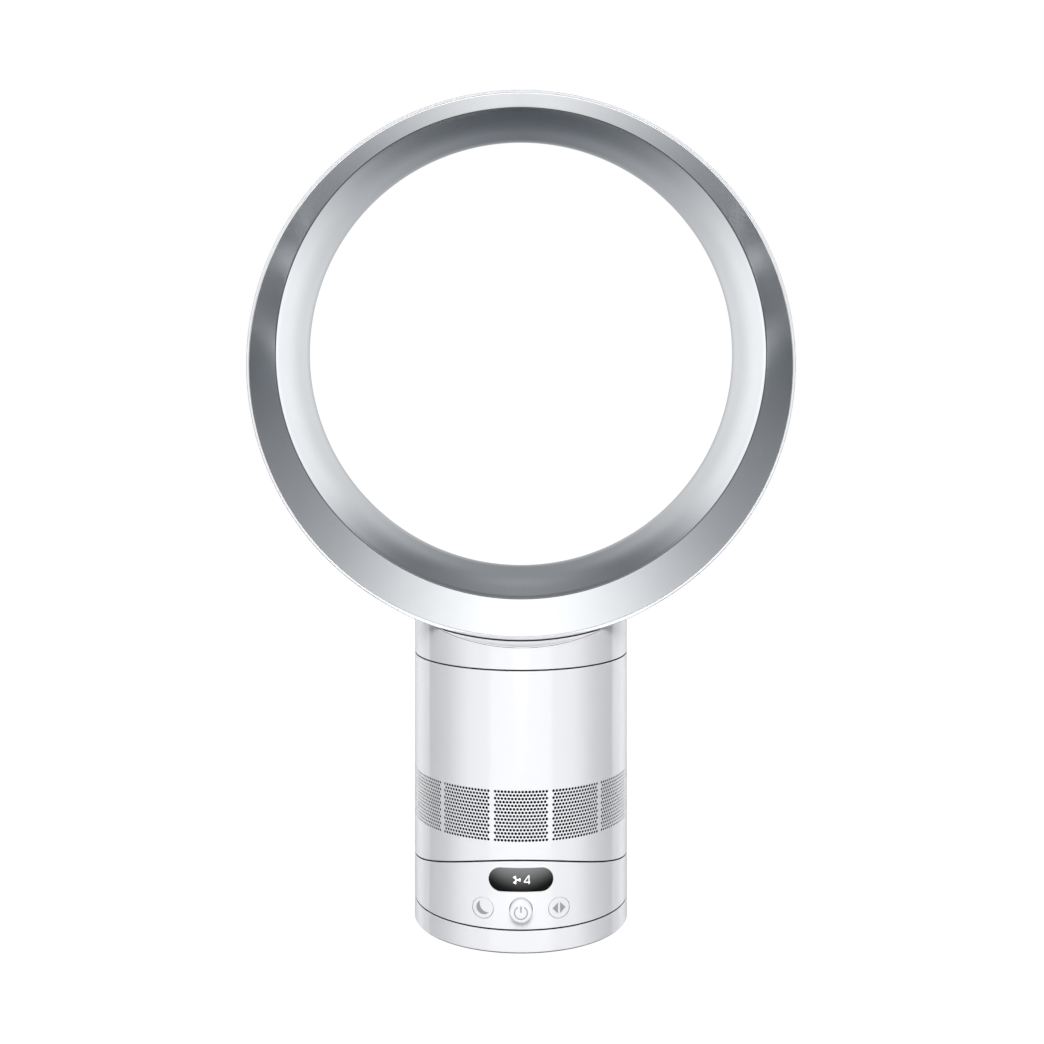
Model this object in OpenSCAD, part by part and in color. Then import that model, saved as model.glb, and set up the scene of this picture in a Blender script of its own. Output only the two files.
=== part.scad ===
// Bladeless desk fan. The round body draws air in through its grille and an impeller drives it up
// into the loop, which blows it out of a slot round its rear edge. Millimetres, +Z up, front at -Y,
// origin on the table at the centre of the base.

/* [Body] */
// Outer diameter of the foot, the casings and the collar
body_d = 144; // [140:1:152]
// Wall of the casings, the collar and the loop
wall = 2.4; // [2:0.1:2.8]
// Height of the top of the main casing
body_top = 180; // [178:1:188]
// Radial gap between pieces that are pushed together
fit = 0.1; // [0.05:0.01:0.15]
// Gap between curved faces that move past each other
running = 0.4; // [0.35:0.05:0.5]

/* [Foot] */
// Height of the top of the foot
foot_top = 15; // [14:0.5:18]
// Wall and deck of the foot
foot_wall = 2.5; // [2:0.1:3]
// Space between the foot's lower edge and the table
foot_lift = 1; // [0.6:0.1:1.1]
// Thickness of the rubber pad ring
pad_t = 1.2; // [1.2:0.1:1.8]
// Width of the rubber pad ring
pad_w = 6; // [4:0.5:9]
// Distance of the pad ring from the foot's inside wall
pad_inset = 3.5; // [2:0.5:5]
// Thickness of the steel base plate
plate_t = 2; // [1.5:0.1:2.5]
// Distance of the foot screws from the foot's inside wall
foot_screw_inset = 19.5; // [16:0.5:23]

/* [Power inlet] */
// Diameter of the socket's bore
jack_bore_d = 5.7; // [5.5:0.1:6.3]
// Depth of the socket's bore
jack_bore_depth = 9.5; // [8:0.5:11]
// Width of the socket's body
jack_w = 9; // [8:0.5:11]
// Length of the socket's body
jack_l = 13; // [12:0.5:16]

/* [Swivel] */
// Gap between the foot and the control casing
swivel_gap = 0.6; // [0.5:0.05:0.9]
// Thickness of the low-friction ring in that gap
glide_t = 0.35; // [0.2:0.05:0.4]
// Gap between the low-friction ring and the heads of the casing screws
glide_gap = 1.6; // [1:0.1:3]
// Width of the low-friction ring
glide_w = 6; // [4:0.5:8]
// Radius of the post that the body turns on
post_r = 12; // [11:0.5:13]
// Radial clearance of the post in its bush
bush_gap = 0.05; // [0.03:0.01:0.09]
// Wall of the bush
bush_wall = 2; // [1.5:0.1:2.5]
// Width and thickness of the bush's flange
bush_flange = [3, 0.5];
// Thickness of the control casing's floor
floor_t = 2.5; // [2:0.1:3]
// Height of the collar round the bush, above the floor
bush_collar_h = 2.4; // [2:0.1:3.5]
// Module of the swivel gears
gear_m = 1; // [0.9:0.05:1.1]
// Teeth on the fixed gear
sun_teeth = 40; // [36:4:44]
// Teeth on the motor's pinion
pinion_teeth = 16; // [14:2:18]
// Width of the gear teeth
gear_t = 5; // [4:0.5:6]
// Backlash between the gears
backlash = 0.28; // [0.24:0.02:0.4]
// Turn to each side
swivel_range = 45; // [30:5:50]
// Radius of the stop pin
stop_r = 2; // [1.5:0.1:2.5]
// Distance of the stop pin from the post's axis
stop_ring = 34; // [32:1:38]
// Diameter of the swivel motor
motor_d = 28; // [26:1:30]
// Height of the swivel motor
motor_h = 13; // [11:1:14]
// Distance between the swivel motor's two screws
ear_span = 35; // [34:1:38]
// Thickness of the swivel motor's ears
ear_t = 1; // [0.8:0.1:1.5]

/* [Tilt] */
// Height of the lowest line of the curved seam
seam_z = 44.5; // [44:0.1:46]
// Radius of the curved seam about the tilt axis
tilt_r = 180.5; // [179:0.5:182]
// Gap between the two curved faces
tilt_gap = 0.5; // [0.4:0.05:0.7]
// Tilt to each side
tilt_range = 10; // [6:1:10]
// Thickness of the cradle
cradle_t = 2.5; // [2:0.1:3]
// Thickness of the shoe
shoe_t = 2.6; // [2:0.1:3]
// Rim of the cradle beyond the end of a rail's slot
slot_rim = 2.5; // [2.5:0.1:6]
// Width of a rail
rail_w = 5.4; // [5:0.1:7]
// Distance of a rail from the middle
rail_x = 28; // [26:0.5:30]
// Thickness of the keeper under a rail
keeper_t = 2; // [1.5:0.1:2.5]
// Overhang of the keeper at each side of its rail
keeper_lip = 3.3; // [2.5:0.1:4]

/* [Screws] */
// Radius of a small screw's shank
screw_r = 1.45; // [1.3:0.05:1.6]
// Radius of its head
head_r = 2.9; // [2.6:0.1:3]
// Height of its head
head_h = 2; // [1.6:0.1:2.2]
// Length of its shank
screw_l = 11; // [9:0.5:12]
// Radius of the columns and bosses that take the screws
boss_r = 4.5; // [4.2:0.1:5]
// Distance of the casing columns from the body's inside wall
column_inset = 7.1; // [6.8:0.1:8]
// Angle of the casing columns, from the sideways axis
column_angle = 37; // [34:1:40]

/* [Controls] */
// Width of the display lens
lens_w = 41; // [38:0.5:44]
// Height of the display lens
lens_h = 15.1; // [14:0.1:15.6]
// Height of the lens's centre
lens_z = 47.1; // [46.9:0.1:47.6]
// Thickness of the lens's bonding rim behind the casing
lens_rim_t = 1.4; // [1:0.1:1.5]
// Width of the lens's bonding rim
lens_rim_w = 1; // [0.8:0.1:1.2]
// Diameter of the power button
power_d = 14; // [12:0.5:14.4]
// Height of the power button's centre
power_z = 28.3; // [27:0.1:28.4]
// How far the power button stands out of the body
power_out = 4.7; // [3:0.1:5]
// Rounding of the power button's rim
power_round = 1.2; // [0.8:0.1:1.5]
// Diameter of the two side buttons
side_d = 13.2; // [12:0.2:14]
// Height of the side buttons' centres
side_z = 28; // [27:0.1:28.4]
// Angle of the side buttons round the body
side_angle = 19.7; // [19.2:0.1:21]
// Gap round each button
button_gap = 0.5; // [0.35:0.05:0.6]
// How far a button is pressed in
button_travel = 0.7; // [0.5:0.05:0.9]
// Wall of the sleeve behind each button's hole
sleeve_wall = 1.3; // [1:0.1:1.6]
// Thickness and overhang of the flange that keeps a button in
button_flange = [1, 0.9];
// Radius and length of a button's stem
button_stem = [2.4, 0.7];
// Size of a switch's body
switch_size = [6, 3.6, 6];
// Radius and length of a switch's plunger
plunger = [1.7, 0.8];
// Width of the control board beyond the side switches
board_edge = 2.7; // [2.6:0.1:4]
// Height of the control board
board_h = 27; // [24:0.5:27]
// Thickness of the circuit boards
board_t = 1.6; // [1.2:0.1:2]
// Width, depth and height of the display module
module_size = [32, 9.5, 8.6];

/* [Intake grille] */
// Perforated panels round the casing
panel_count = 12; // [8:1:14]
// Angle of the solid strip between two panels
panel_strip = 3.6; // [3:0.2:6]
// Height of the lowest row of holes
grille_low = 74.2; // [72:0.2:80]
// Rows of holes
grille_rows = 5; // [3:1:6]
// Holes in a long row
grille_cols = 5; // [3:1:5]
// Diameter of a hole
hole_d = 3.8; // [2:0.2:4]
// Distance between the rows
row_step = 6.6; // [5:0.2:7]

/* [Air path] */
// Height of the impeller's shroud
shroud_h = 88; // [86:1:92]
// Inner radius of the shroud
shroud_r = 56; // [55:0.5:56.5]
// Wall of the shroud
shroud_wall = 2; // [1.6:0.1:2.2]
// Thickness of the shroud's flange
flange_t = 3; // [2.5:0.1:3.5]
// Inner radius of the shroud's mouth
mouth_r = 42; // [40:0.5:43]
// Height of the flared lip under the mouth
lip_h = 5; // [4:0.5:6]
// Height of the cone from mouth to full radius
cone_h = 27; // [25:0.5:29]
// Blades of the impeller
blade_count = 9; // [7:1:11]
// Thickness of a blade
blade_t = 1.4; // [1:0.1:1.8]
// Running gap between the blades and the shroud
tip_gap = 0.9; // [0.6:0.1:1.2]
// Radius of the impeller's hub at its inlet
hub_in_r = 18; // [16:0.5:20]
// Radius of the impeller's hub at its outlet
hub_out_r = 42; // [40:0.5:42]
// Radius of the impeller's shaft
shaft_r = 2.5; // [2:0.1:3]
// Radial clearance of the shaft in its bearings
bearing_gap = 0.05; // [0.03:0.01:0.09]
// Outer radius and width of a bearing
bearing = [6.5, 4];
// Outer radius of the motor housing
housing_r = 42; // [40:0.5:42]
// Height of the motor housing
housing_h = 36; // [34:1:38]
// Vanes round the motor housing
vane_count = 11; // [9:1:13]
// Height of a vane
vane_h = 26; // [20:1:30]
// Outer radius of the stator
stator_r = 32; // [30:0.5:33]
// Bore radius of the stator
stator_bore_r = 14.5; // [14:0.5:16]
// Height of the stator
stator_h = 16; // [14:0.5:17]
// Air gap between the magnet and the stator
air_gap = 0.7; // [0.5:0.1:1]
// Height of the tail cone
tail_h = 15; // [12:0.5:15]
// Top radius of the tail cone
tail_r = 20; // [16:1:26]
// Gap between the silencer foam and the casing columns
foam_gap = 1; // [1:0.5:6]
// Inner radius of the silencer foam
foam_hole_r = 30; // [28:1:34]
// Height of the foam's top
foam_top = 68; // [64:1:70]
// Radius of the motor's driver board
driver_r = 24; // [22:0.5:26]
// Height of the driver board's standoffs
standoff_h = 6; // [5:0.5:8]

/* [Loop socket] */
// Angles of the three screws that hang the shroud and the socket
hang_angle = 45; // [40:1:50]
// Height of the socket ring
socket_h = 11.2; // [11:0.1:12]
// Height of the collar's skirt, below the seam
skirt_h = 10.4; // [9.8:0.1:10.4]
// Width of the socket ring
socket_w = 7.5; // [7.4:0.1:8]
// Gap between the main casing and the collar
collar_gap = 0.4; // [0.3:0.05:0.6]
// Angle of a locking lug
lug_angle = 14; // [10:1:18]
// Height of a locking lug
lug_h = 2.6; // [2:0.1:3]
// Reach of a locking lug
lug_reach = 3.4; // [2.6:0.1:3.6]
// Height of a lug above the skirt's lower edge
lug_rise = 2.3; // [2:0.1:3]
// Angle that the loop turns to unlock
twist_range = 15; // [12:1:18]
// Height of the rubber grommets
grommet_h = 2.5; // [2:0.1:3]
// Thickness of the duct seal
seal_t = 1.6; // [1.2:0.05:1.7]

/* [Loop] */
// Outer diameter of the loop
loop_d = 358; // [350:1:366]
// Depth of the loop, front to back
loop_depth = 100; // [96:1:104]
// Height of the collar under the loop's lowest point
collar_h = 15; // [14.6:0.1:18]
// How far the bore's axis lies above the loop's outer axis
bore_rise = 7.5; // [6:0.1:8]
// Thickness of the loop, from its outside to the throat, on average
loop_t = 30.5; // [30:0.5:33]
// Distance of the throat from the loop's rear
throat_back = 17.4; // [17.2:0.1:20]
// Half angle of the bore's flare
flare = 13; // [12.5:0.1:13]
// Radius of the blend between flare and throat
blend_r = 60; // [50:1:70]
// Radius of the curved lip that the air follows
coanda_r = 14; // [13:0.1:14.2]
// Wall of the inner duct
duct_wall = 2; // [1.6:0.1:2.2]
// Width of the air slot
slot_w = 1; // [0.8:0.1:1.4]
// Angles at which the shell's lip and the duct's lip end in the slot
lip_ends = [135, 105];
// Spacers in the air slot
spacer_count = 10; // [8:1:14]
// Depth of the front bezel's slope
bezel_depth = 16; // [15:0.5:17]
// Seam between the bezel and the inner duct
bezel_seam = 0.6; // [0.4:0.1:0.8]
// Wall of the bezel
bezel_wall = 2.2; // [1.8:0.1:2.4]
// Width of the air port between collar and loop
port_w = 80; // [70:1:80]
// Depth of the air port, front to back
port_d = 76; // [66:1:76]
// Sideways and front-to-back distance of the collar's screws
collar_screw = [48, 26];
// Gap between the collar's saddle and the loop
saddle_gap = 0.15; // [0.1:0.05:0.25]

/* [Hidden] */
$fn = 96;

// How far a cut runs past the face that it opens, and a length beyond every part
past = 1;
far = 3 * body_d;
// Colours of the finishes
gloss_white = [0.96, 0.96, 0.97];
satin_silver = [0.66, 0.68, 0.70];
smoke_black = [0.06, 0.06, 0.07];
grey_plastic = [0.36, 0.37, 0.39];
dark_plastic = [0.16, 0.16, 0.17];
rubber_black = [0.10, 0.10, 0.10];
steel = [0.62, 0.63, 0.65];
board_green = [0.10, 0.36, 0.22];

// Body
body_r = body_d / 2;
bore_r = body_r - wall;
// Foot
foot_bore_r = body_r - foot_wall;
foot_screw_ring = foot_bore_r - foot_screw_inset;
plate_top = pad_t + plate_t;
deck_low = foot_top - foot_wall;
table_gap = 0.2;
foot_screw_l = deck_low - pad_t - past;
jack_z = (plate_top + deck_low) / 2;
jack_front = sqrt(pow(foot_bore_r, 2) - pow(jack_w / 2, 2)) - 3 * fit;
jack_hole_r = jack_bore_d / 2 + 1.35;
// Columns in the casings
column_ring = bore_r - column_inset;
// Swivel
control_low = foot_top + swivel_gap;
glide_r = column_ring - head_r - glide_gap - glide_w;
floor_top = control_low + floor_t;
bush_r = post_r + bush_gap;
bush_out_r = bush_r + bush_wall;
bush_collar_r = bush_out_r + bush_flange[0];
bush_top = floor_top + bush_collar_h + bush_flange[1];
gear_low = bush_top + fit;
gear_top = gear_low + gear_t;
key_r = post_r * 2 / 3;
key_flat = key_r * 0.8;
gear_distance = gear_m * (sun_teeth + pinion_teeth) / 2;
gear_screw_l = gear_t + 6;
motor_low = gear_top + past;
stop_gap = 1;
stop_slot_half = swivel_range + 2 * atan(stop_gap / stop_ring);
// Tilt
tilt_z = seam_z + tilt_r;
tilt_face = tilt_r - tilt_gap;
shoe_in = tilt_face - shoe_t;
cradle_out = tilt_r + cradle_t;
cradle_radius = bore_r - lens_rim_t - 2 * running;
rail_end = cradle_out + running;
keeper_end = rail_end + fit + keeper_t;
slot_half = asin((sqrt(pow(cradle_radius, 2) - pow(rail_x + rail_w / 2 + running, 2)) - slot_rim) / tilt_r);
rail_half = slot_half - tilt_range - 0.5;
plate_half = asin(body_r / tilt_face) + 2;
keeper_screw_angle = rail_half * 0.6;
// Heights of the seats for the screws in the columns
column_y = column_ring * sin(column_angle);
shoe_head_low = tilt_z - sqrt(pow(tilt_face, 2) - pow(column_y + head_r, 2)) + 2 * fit;
shoe_seat = shoe_head_low + head_h;
shoe_boss_top = shoe_seat + 2;
cradle_head_top = tilt_z - sqrt(pow(tilt_r, 2) - pow(column_y - head_r, 2)) - 2 * fit;
cradle_seat = cradle_head_top - head_h;
cradle_boss_low = cradle_seat - 2;
floor_head_low = control_low + 2 * fit;
floor_seat = floor_head_low + head_h;
floor_boss_top = floor_seat + 1.5;
column_h = screw_l + 2;
// Controls: each plane below is a distance in front of the body's axis
side_x = body_r * sin(side_angle);
button_bore = [power_d / 2 + button_gap, side_d / 2 + button_gap];
pocket_r = button_bore[1] + button_flange[1] + running;
sleeve_end = sqrt(pow(body_r, 2) - pow(side_x + pocket_r, 2)) - wall * 0.8;
flange_front = sleeve_end - fit;
flange_back = flange_front - button_flange[0];
stem_end = flange_back - button_stem[1];
plunger_end = stem_end - button_travel - fit;
switch_front = plunger_end - plunger[1];
board_front = switch_front - switch_size[1];
board_back = board_front - board_t;
board_low = floor_top + fit;
module_low = lens_z - module_size[2] / 2 - 1.4;
board_w = 2 * (side_x + switch_size[0] / 2 + board_edge);
post_size = [4, 7, 12];
// Hanging air unit, from the top of the casing down
socket_low = body_top - socket_h - 0.8;
socket_r = bore_r - fit;
socket_bore_r = socket_r - socket_w;
flange_low = socket_low - flange_t;
boss_top = flange_low - grommet_h;
hang_ring = socket_bore_r + head_r + 1.2;
mouth_z = socket_low - shroud_h + lip_h;
cone_top = mouth_z + cone_h;
hub_low = mouth_z + 3;
housing_low = cone_top + 2;
housing_top = housing_low + housing_h;
vane_low = housing_low + 4;
vane_out_r = shroud_r - fit;
housing_wall = 2;
bearing_low = housing_low + 0.5;
stator_low = bearing_low + bearing[1] + 3;
cap_low = stator_low + stator_h + 3;
cap_t = 2.5;
bearing_high = cap_low + 1;
magnet_r = stator_bore_r - air_gap;
shaft_low = hub_low - 2;
blade_arc_r = hub_out_r - 10;
shaft_high = bearing_high + bearing[1] + 1;
foam_r = column_ring - boss_r - foam_gap;
foam_low_r = shoe_in - running;
driver_low = tilt_z - shoe_in + standoff_h;
standoff_xy = driver_r * 0.62;
// Collar and loop
collar_low = body_top + collar_gap;
skirt_low = collar_low - skirt_h;
skirt_r = socket_bore_r - running;
skirt_in_r = skirt_r - wall;
lug_low = skirt_low + lug_rise;
lug_r = skirt_r + lug_reach;
seal_in_r = skirt_in_r - 2;
loop_r = loop_d / 2;
throat_r = loop_r - loop_t;
loop_z = body_top + collar_h + loop_r;
bore_z = loop_z + bore_rise;
saddle_r = loop_r + saddle_gap;
saddle_in_r = saddle_r + wall;
collar_seat = loop_z - saddle_in_r - 0.4;
loop_boss_top = collar_seat + screw_l + 3;
rear = loop_depth / 2;
front = -loop_depth / 2;
lip_round = wall / 2;
throat_y = rear - throat_back;
blend_c = [throat_r + blend_r, throat_y];
coanda_c = [throat_r + coanda_r, throat_y];
curl_in = coanda_r + slot_w;
curl_out = curl_in + wall;
rear_round = loop_r - bore_rise - coanda_c[0] - 2;
bezel_back = front + bezel_depth;
duct_front = bezel_back + bezel_seam;
duct_front_r = throat_r + blend_r * (1 - cos(flare))
    + (throat_y - blend_r * sin(flare) - duct_front) * tan(flare);
bezel_out_r = loop_r - wall - 2 * fit;

// Points of an arc about c, from angle a0 to angle a1
function arc(c, r, a0, a1, steps) =
    [for (i = [0:steps]) let (a = a0 + (a1 - a0) * i / steps) c + r * [cos(a), sin(a)]];

// Half the angle that an involute tooth takes at radius r, for pitch radius rp
function involute(r, rb) = let (t = sqrt(max(pow(r / rb, 2) - 1, 0))) t * 180 / PI - atan(t);
function tooth_half(r, rp) = let (rb = rp * cos(20))
    (PI * gear_m / 2 - backlash) / (2 * rp) * 180 / PI + involute(rp, rb) - involute(max(r, rb), rb);
function tooth(rp, a) = let (
        root = rp - 1.25 * gear_m, tip = rp + 0.95 * gear_m, foot = max(root, rp * cos(20)),
        radii = [root, foot, (foot + rp) / 2, rp, (rp + tip) / 2, tip])
    concat(
        [for (r = radii) let (h = a - tooth_half(r, rp)) r * [cos(h), sin(h)]],
        [for (i = [5:-1:0]) let (h = a + tooth_half(radii[i], rp)) radii[i] * [cos(h), sin(h)]]);
function gear_outline(teeth) =
    [for (i = [0:teeth - 1]) each tooth(teeth * gear_m / 2, i * 360 / teeth)];

// A round bar and a tube between two heights
module rod(r, z0, z1) {
    translate([0, 0, z0]) cylinder(r = r, h = z1 - z0);
}
module tube(r_in, r_out, z0, z1) {
    difference() {
        rod(r_out, z0, z1);
        rod(r_in, z0 - past, z1 + past);
    }
}
// A bar along Y between two distances in front of the body's axis
module bar(r, y0, y1) {
    translate([0, -y1, 0]) rotate([-90, 0, 0]) cylinder(r = r, h = y1 - y0);
}
// Puts pieces at the four casing columns, or at the three hanging screws
module at_columns() {
    for (side = [0, 180], turn = [-column_angle, column_angle])
        rotate(side + turn) translate([column_ring, 0, 0]) children();
}
module at_hangers() {
    for (i = [0:2]) rotate(hang_angle + 120 * i) translate([hang_ring, 0, 0]) children();
}
// A screw with its head under or over the seat
module screw(seat, up = true, shank = screw_l, head = head_h) {
    translate([0, 0, seat]) mirror([0, 0, up ? 0 : 1]) {
        translate([0, 0, -head]) cylinder(r = head_r, h = head);
        cylinder(r = screw_r, h = shank);
    }
}
module screw_hole(seat, up = true, shank = screw_l) {
    translate([0, 0, seat]) mirror([0, 0, up ? 0 : 1])
        translate([0, 0, -past]) cylinder(r = screw_r + fit, h = shank + 2 * past);
}
// A drum about the tilt axis, and a sector of a ring about it
module tilt_drum(r) {
    translate([0, 0, tilt_z]) rotate([0, 90, 0]) cylinder(r = r, h = far, center = true);
}
module tilt_sector(r_in, r_out, half, x, w) {
    translate([0, 0, tilt_z]) rotate([0, 90, 0]) rotate(-half)
        rotate_extrude(angle = 2 * half)
            translate([r_in, x - w / 2]) square([r_out - r_in, w]);
}
// Puts a piece that hangs under the tilt axis at an angle about it
module tilt_at(angle) {
    translate([0, 0, tilt_z]) rotate([angle, 0, 0]) translate([0, 0, -tilt_z]) children();
}
// The loop's outer axis and its bore's axis, both along Y
module on_loop_axis() {
    translate([0, 0, loop_z]) rotate([-90, 0, 0]) children();
}
module on_bore_axis() {
    translate([0, 0, bore_z]) rotate([-90, 0, 0]) children();
}

// Foot: stands on the table and carries the post that everything turns on
module foot_shell() color(gloss_white) {
    difference() {
        union() {
            difference() {
                rod(body_r, foot_lift, foot_top);
                rod(foot_bore_r, foot_lift - past, deck_low);
            }
            rod(post_r, deck_low, gear_low);
            rod(key_r, gear_low - past, gear_top - fit);
            rotate(-90) translate([stop_ring, 0, 0]) rod(stop_r, deck_low, floor_top);
            for (i = [0:3]) rotate(45 + 90 * i) translate([foot_screw_ring, 0, 0])
                rod(boss_r, plate_top, deck_low + fit);
        }
        translate([key_flat, -key_r, gear_low]) cube([key_r, 2 * key_r, gear_t]);
        for (i = [0:3]) rotate(45 + 90 * i) translate([foot_screw_ring, 0, 0])
            rod(screw_r + fit, plate_top - past, deck_low);
        rod(screw_r + fit, gear_top - gear_screw_l - past, gear_top + past);
        translate([0, 0, jack_z]) bar(jack_hole_r, -body_r - past, -foot_bore_r + past);
    }
}
module foot_plate() color(steel) difference() {
    rod(foot_bore_r - fit, pad_t, plate_top);
    for (i = [0:3]) rotate(45 + 90 * i) translate([foot_screw_ring, 0, 0])
        rod(screw_r + 2 * fit, pad_t - past, plate_top + past);
}
module foot_pad() color(rubber_black)
    tube(foot_bore_r - pad_inset - pad_w, foot_bore_r - pad_inset, 0, pad_t);
module foot_screws() color(steel)
    for (i = [0:3]) rotate(45 + 90 * i) translate([foot_screw_ring, 0, 0])
        screw(pad_t, true, foot_screw_l, pad_t - table_gap);
module power_jack() color(dark_plastic) difference() {
    translate([-jack_w / 2, jack_front - jack_l, plate_top + fit])
        cube([jack_w, jack_l, deck_low - plate_top - 2 * fit]);
    translate([0, 0, jack_z]) bar(jack_bore_d / 2, -jack_front - past, -jack_front + jack_bore_depth);
}
module glide_ring() color(gloss_white)
    tube(glide_r, glide_r + glide_w, foot_top, foot_top + glide_t);
module swivel_gear() color(grey_plastic) difference() {
    translate([0, 0, gear_low]) linear_extrude(gear_t) polygon(gear_outline(sun_teeth));
    difference() {
        rod(key_r + fit, gear_low - past, gear_top + past);
        translate([key_flat + fit, -2 * key_r, gear_low - 2 * past])
            cube([key_r, 4 * key_r, gear_t + 4 * past]);
    }
}
module gear_screw() color(steel) {
    rod(key_r + 2, gear_top, gear_top + 0.8);
    rod(head_r, gear_top + 0.8 - fit, gear_top + 0.8 + head_h);
    rod(screw_r, gear_top - gear_screw_l, gear_top + fit);
}

// Control body: turns on the foot and holds the buttons, the display and the tilt cradle
module each_button() {
    for (i = [-1:1]) translate([i * side_x, 0, i == 0 ? power_z : side_z]) children(i + 1);
}
module lens_bar(grow, y0, y1) {
    half = (lens_w - lens_h) / 2;
    translate([-half, -y1, lens_z - lens_h / 2 - grow]) cube([2 * half, y1 - y0, lens_h + 2 * grow]);
    for (side = [-half, half]) translate([side, 0, lens_z]) bar(lens_h / 2 + grow, y0, y1);
}
module control_casing() color(gloss_white) difference() {
    union() {
        difference() {
            tube(bore_r, body_r, control_low, tilt_z - tilt_r * 0.8);
            tilt_drum(tilt_r);
        }
        intersection() {
            each_button() {
                bar(button_bore[1] + sleeve_wall, sleeve_end, body_r);
                bar(button_bore[0] + sleeve_wall, sleeve_end, body_r);
                bar(button_bore[1] + sleeve_wall, sleeve_end, body_r);
            }
            rod(bore_r + fit, control_low, lens_z);
        }
        at_columns() difference() {
            union() {
                rod(boss_r, floor_boss_top, cradle_boss_low);
                translate([0, -wall / 2, floor_boss_top])
                    cube([column_inset + fit, wall, cradle_boss_low - floor_boss_top]);
            }
            screw_hole(floor_seat);
            screw_hole(cradle_seat, false);
        }
    }
    each_button() {
        bar(button_bore[1], sleeve_end - past, body_r + past);
        bar(button_bore[0], sleeve_end - past, body_r + past);
        bar(button_bore[1], sleeve_end - past, body_r + past);
    }
    for (side = [-side_x, side_x]) translate([side, 0, side_z])
        bar(pocket_r, sleeve_end - 2 * past, sleeve_end);
    lens_bar(fit, bore_r * 0.9, body_r + past);
}
module control_floor() color(dark_plastic) difference() {
    union() {
        rod(bore_r - fit, control_low, floor_top);
        rod(bush_collar_r, control_low, floor_top + bush_collar_h);
        at_columns() rod(boss_r, control_low, floor_boss_top - fit);
        for (side = [-1, 1]) {
            translate([side * ear_span / 2, gear_distance, 0])
                rod(screw_r + 2, control_low, motor_low);
            translate([side * board_w / 2 - post_size[0] / 2, -board_back - board_t / 2 - post_size[1] / 2,
                control_low]) cube([post_size[0], post_size[1], floor_t + post_size[2]]);
        }
    }
    rod(bush_out_r + fit, control_low - past, bush_top + past);
    at_columns() {
        rod(head_r + 2 * fit, control_low - past, floor_seat);
        screw_hole(floor_seat);
    }
    for (side = [-1, 1]) translate([side * ear_span / 2, gear_distance, 0])
        rod(screw_r + fit, floor_top, motor_low + past);
    translate([-board_w / 2 - fit, -board_front - fit, board_low - fit])
        cube([board_w + 2 * fit, board_t + 2 * fit, board_h]);
    rotate(-90 - stop_slot_half) rotate_extrude(angle = 2 * stop_slot_half)
        translate([stop_ring - stop_r - stop_gap, control_low - past])
            square([2 * (stop_r + stop_gap), floor_t + 2 * past]);
}
module floor_screws() color(steel) at_columns() screw(floor_seat);
module swivel_bush() color(gloss_white) difference() {
    union() {
        rod(bush_out_r, control_low + fit, bush_top);
        rod(bush_collar_r, bush_top - bush_flange[1], bush_top);
    }
    rod(bush_r, control_low - past, bush_top + past);
}
module swivel_motor() color(steel) difference() {
    translate([0, gear_distance, 0]) {
        rod(motor_d / 2, motor_low, motor_low + motor_h);
        translate([-ear_span / 2 - 3.5, -3.5, motor_low]) cube([ear_span + 7, 7, ear_t]);
    }
    for (side = [-1, 1]) translate([side * ear_span / 2, gear_distance, 0])
        rod(screw_r + fit, motor_low - past, motor_low + ear_t + past);
    translate([0, gear_distance, 0]) rod(shaft_r + running, motor_low - past, motor_low + 3);
}
module motor_screws() color(steel)
    for (side = [-1, 1]) translate([side * ear_span / 2, gear_distance, 0])
        screw(motor_low + ear_t, false, motor_low + ear_t - floor_top - past);
module tilt_cradle() color(dark_plastic) difference() {
    intersection() {
        union() {
            tilt_sector(tilt_r, cradle_out, plate_half, 0, far);
            difference() {
                at_columns() rod(boss_r, cradle_boss_low + fit, cradle_head_top + 2);
                tilt_drum(tilt_r);
            }
        }
        rod(cradle_radius, control_low, tilt_z);
    }
    for (side = [-rail_x, rail_x])
        tilt_sector(tilt_r - past, cradle_out + past, slot_half, side, rail_w + 2 * running);
    at_columns() {
        rod(head_r + 2 * fit, cradle_seat, tilt_z);
        screw_hole(cradle_seat, false);
    }
}
module cradle_screws() color(steel) at_columns() screw(cradle_seat, false);
module display_lens() color(smoke_black) {
    intersection() {
        lens_bar(0, bore_r * 0.9, body_r + past);
        tube(bore_r - lens_rim_t, body_r, control_low, body_top);
    }
    intersection() {
        lens_bar(lens_rim_w, bore_r * 0.9, body_r);
        tube(bore_r - lens_rim_t, bore_r - fit, control_low, body_top);
    }
}
module display_module() color(dark_plastic)
    translate([-module_size[0] / 2, -board_front - module_size[1], module_low]) cube(module_size);
module control_board() color(board_green)
    translate([-board_w / 2, -board_front, board_low]) cube([board_w, board_t, board_h]);
module tact_switch() {
    translate([-switch_size[0] / 2, -switch_front, -switch_size[2] / 2]) cube(switch_size);
    bar(plunger[0], switch_front - fit, plunger_end);
}
module tact_switches() color(grey_plastic) each_button() {
    tact_switch();
    tact_switch();
    tact_switch();
}
module drive_pinion() color(grey_plastic) translate([0, gear_distance, 0]) {
    translate([0, 0, gear_low]) linear_extrude(gear_t)
        rotate(180 / pinion_teeth) polygon(gear_outline(pinion_teeth));
    rod(shaft_r, gear_low, motor_low + 2);
}

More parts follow.
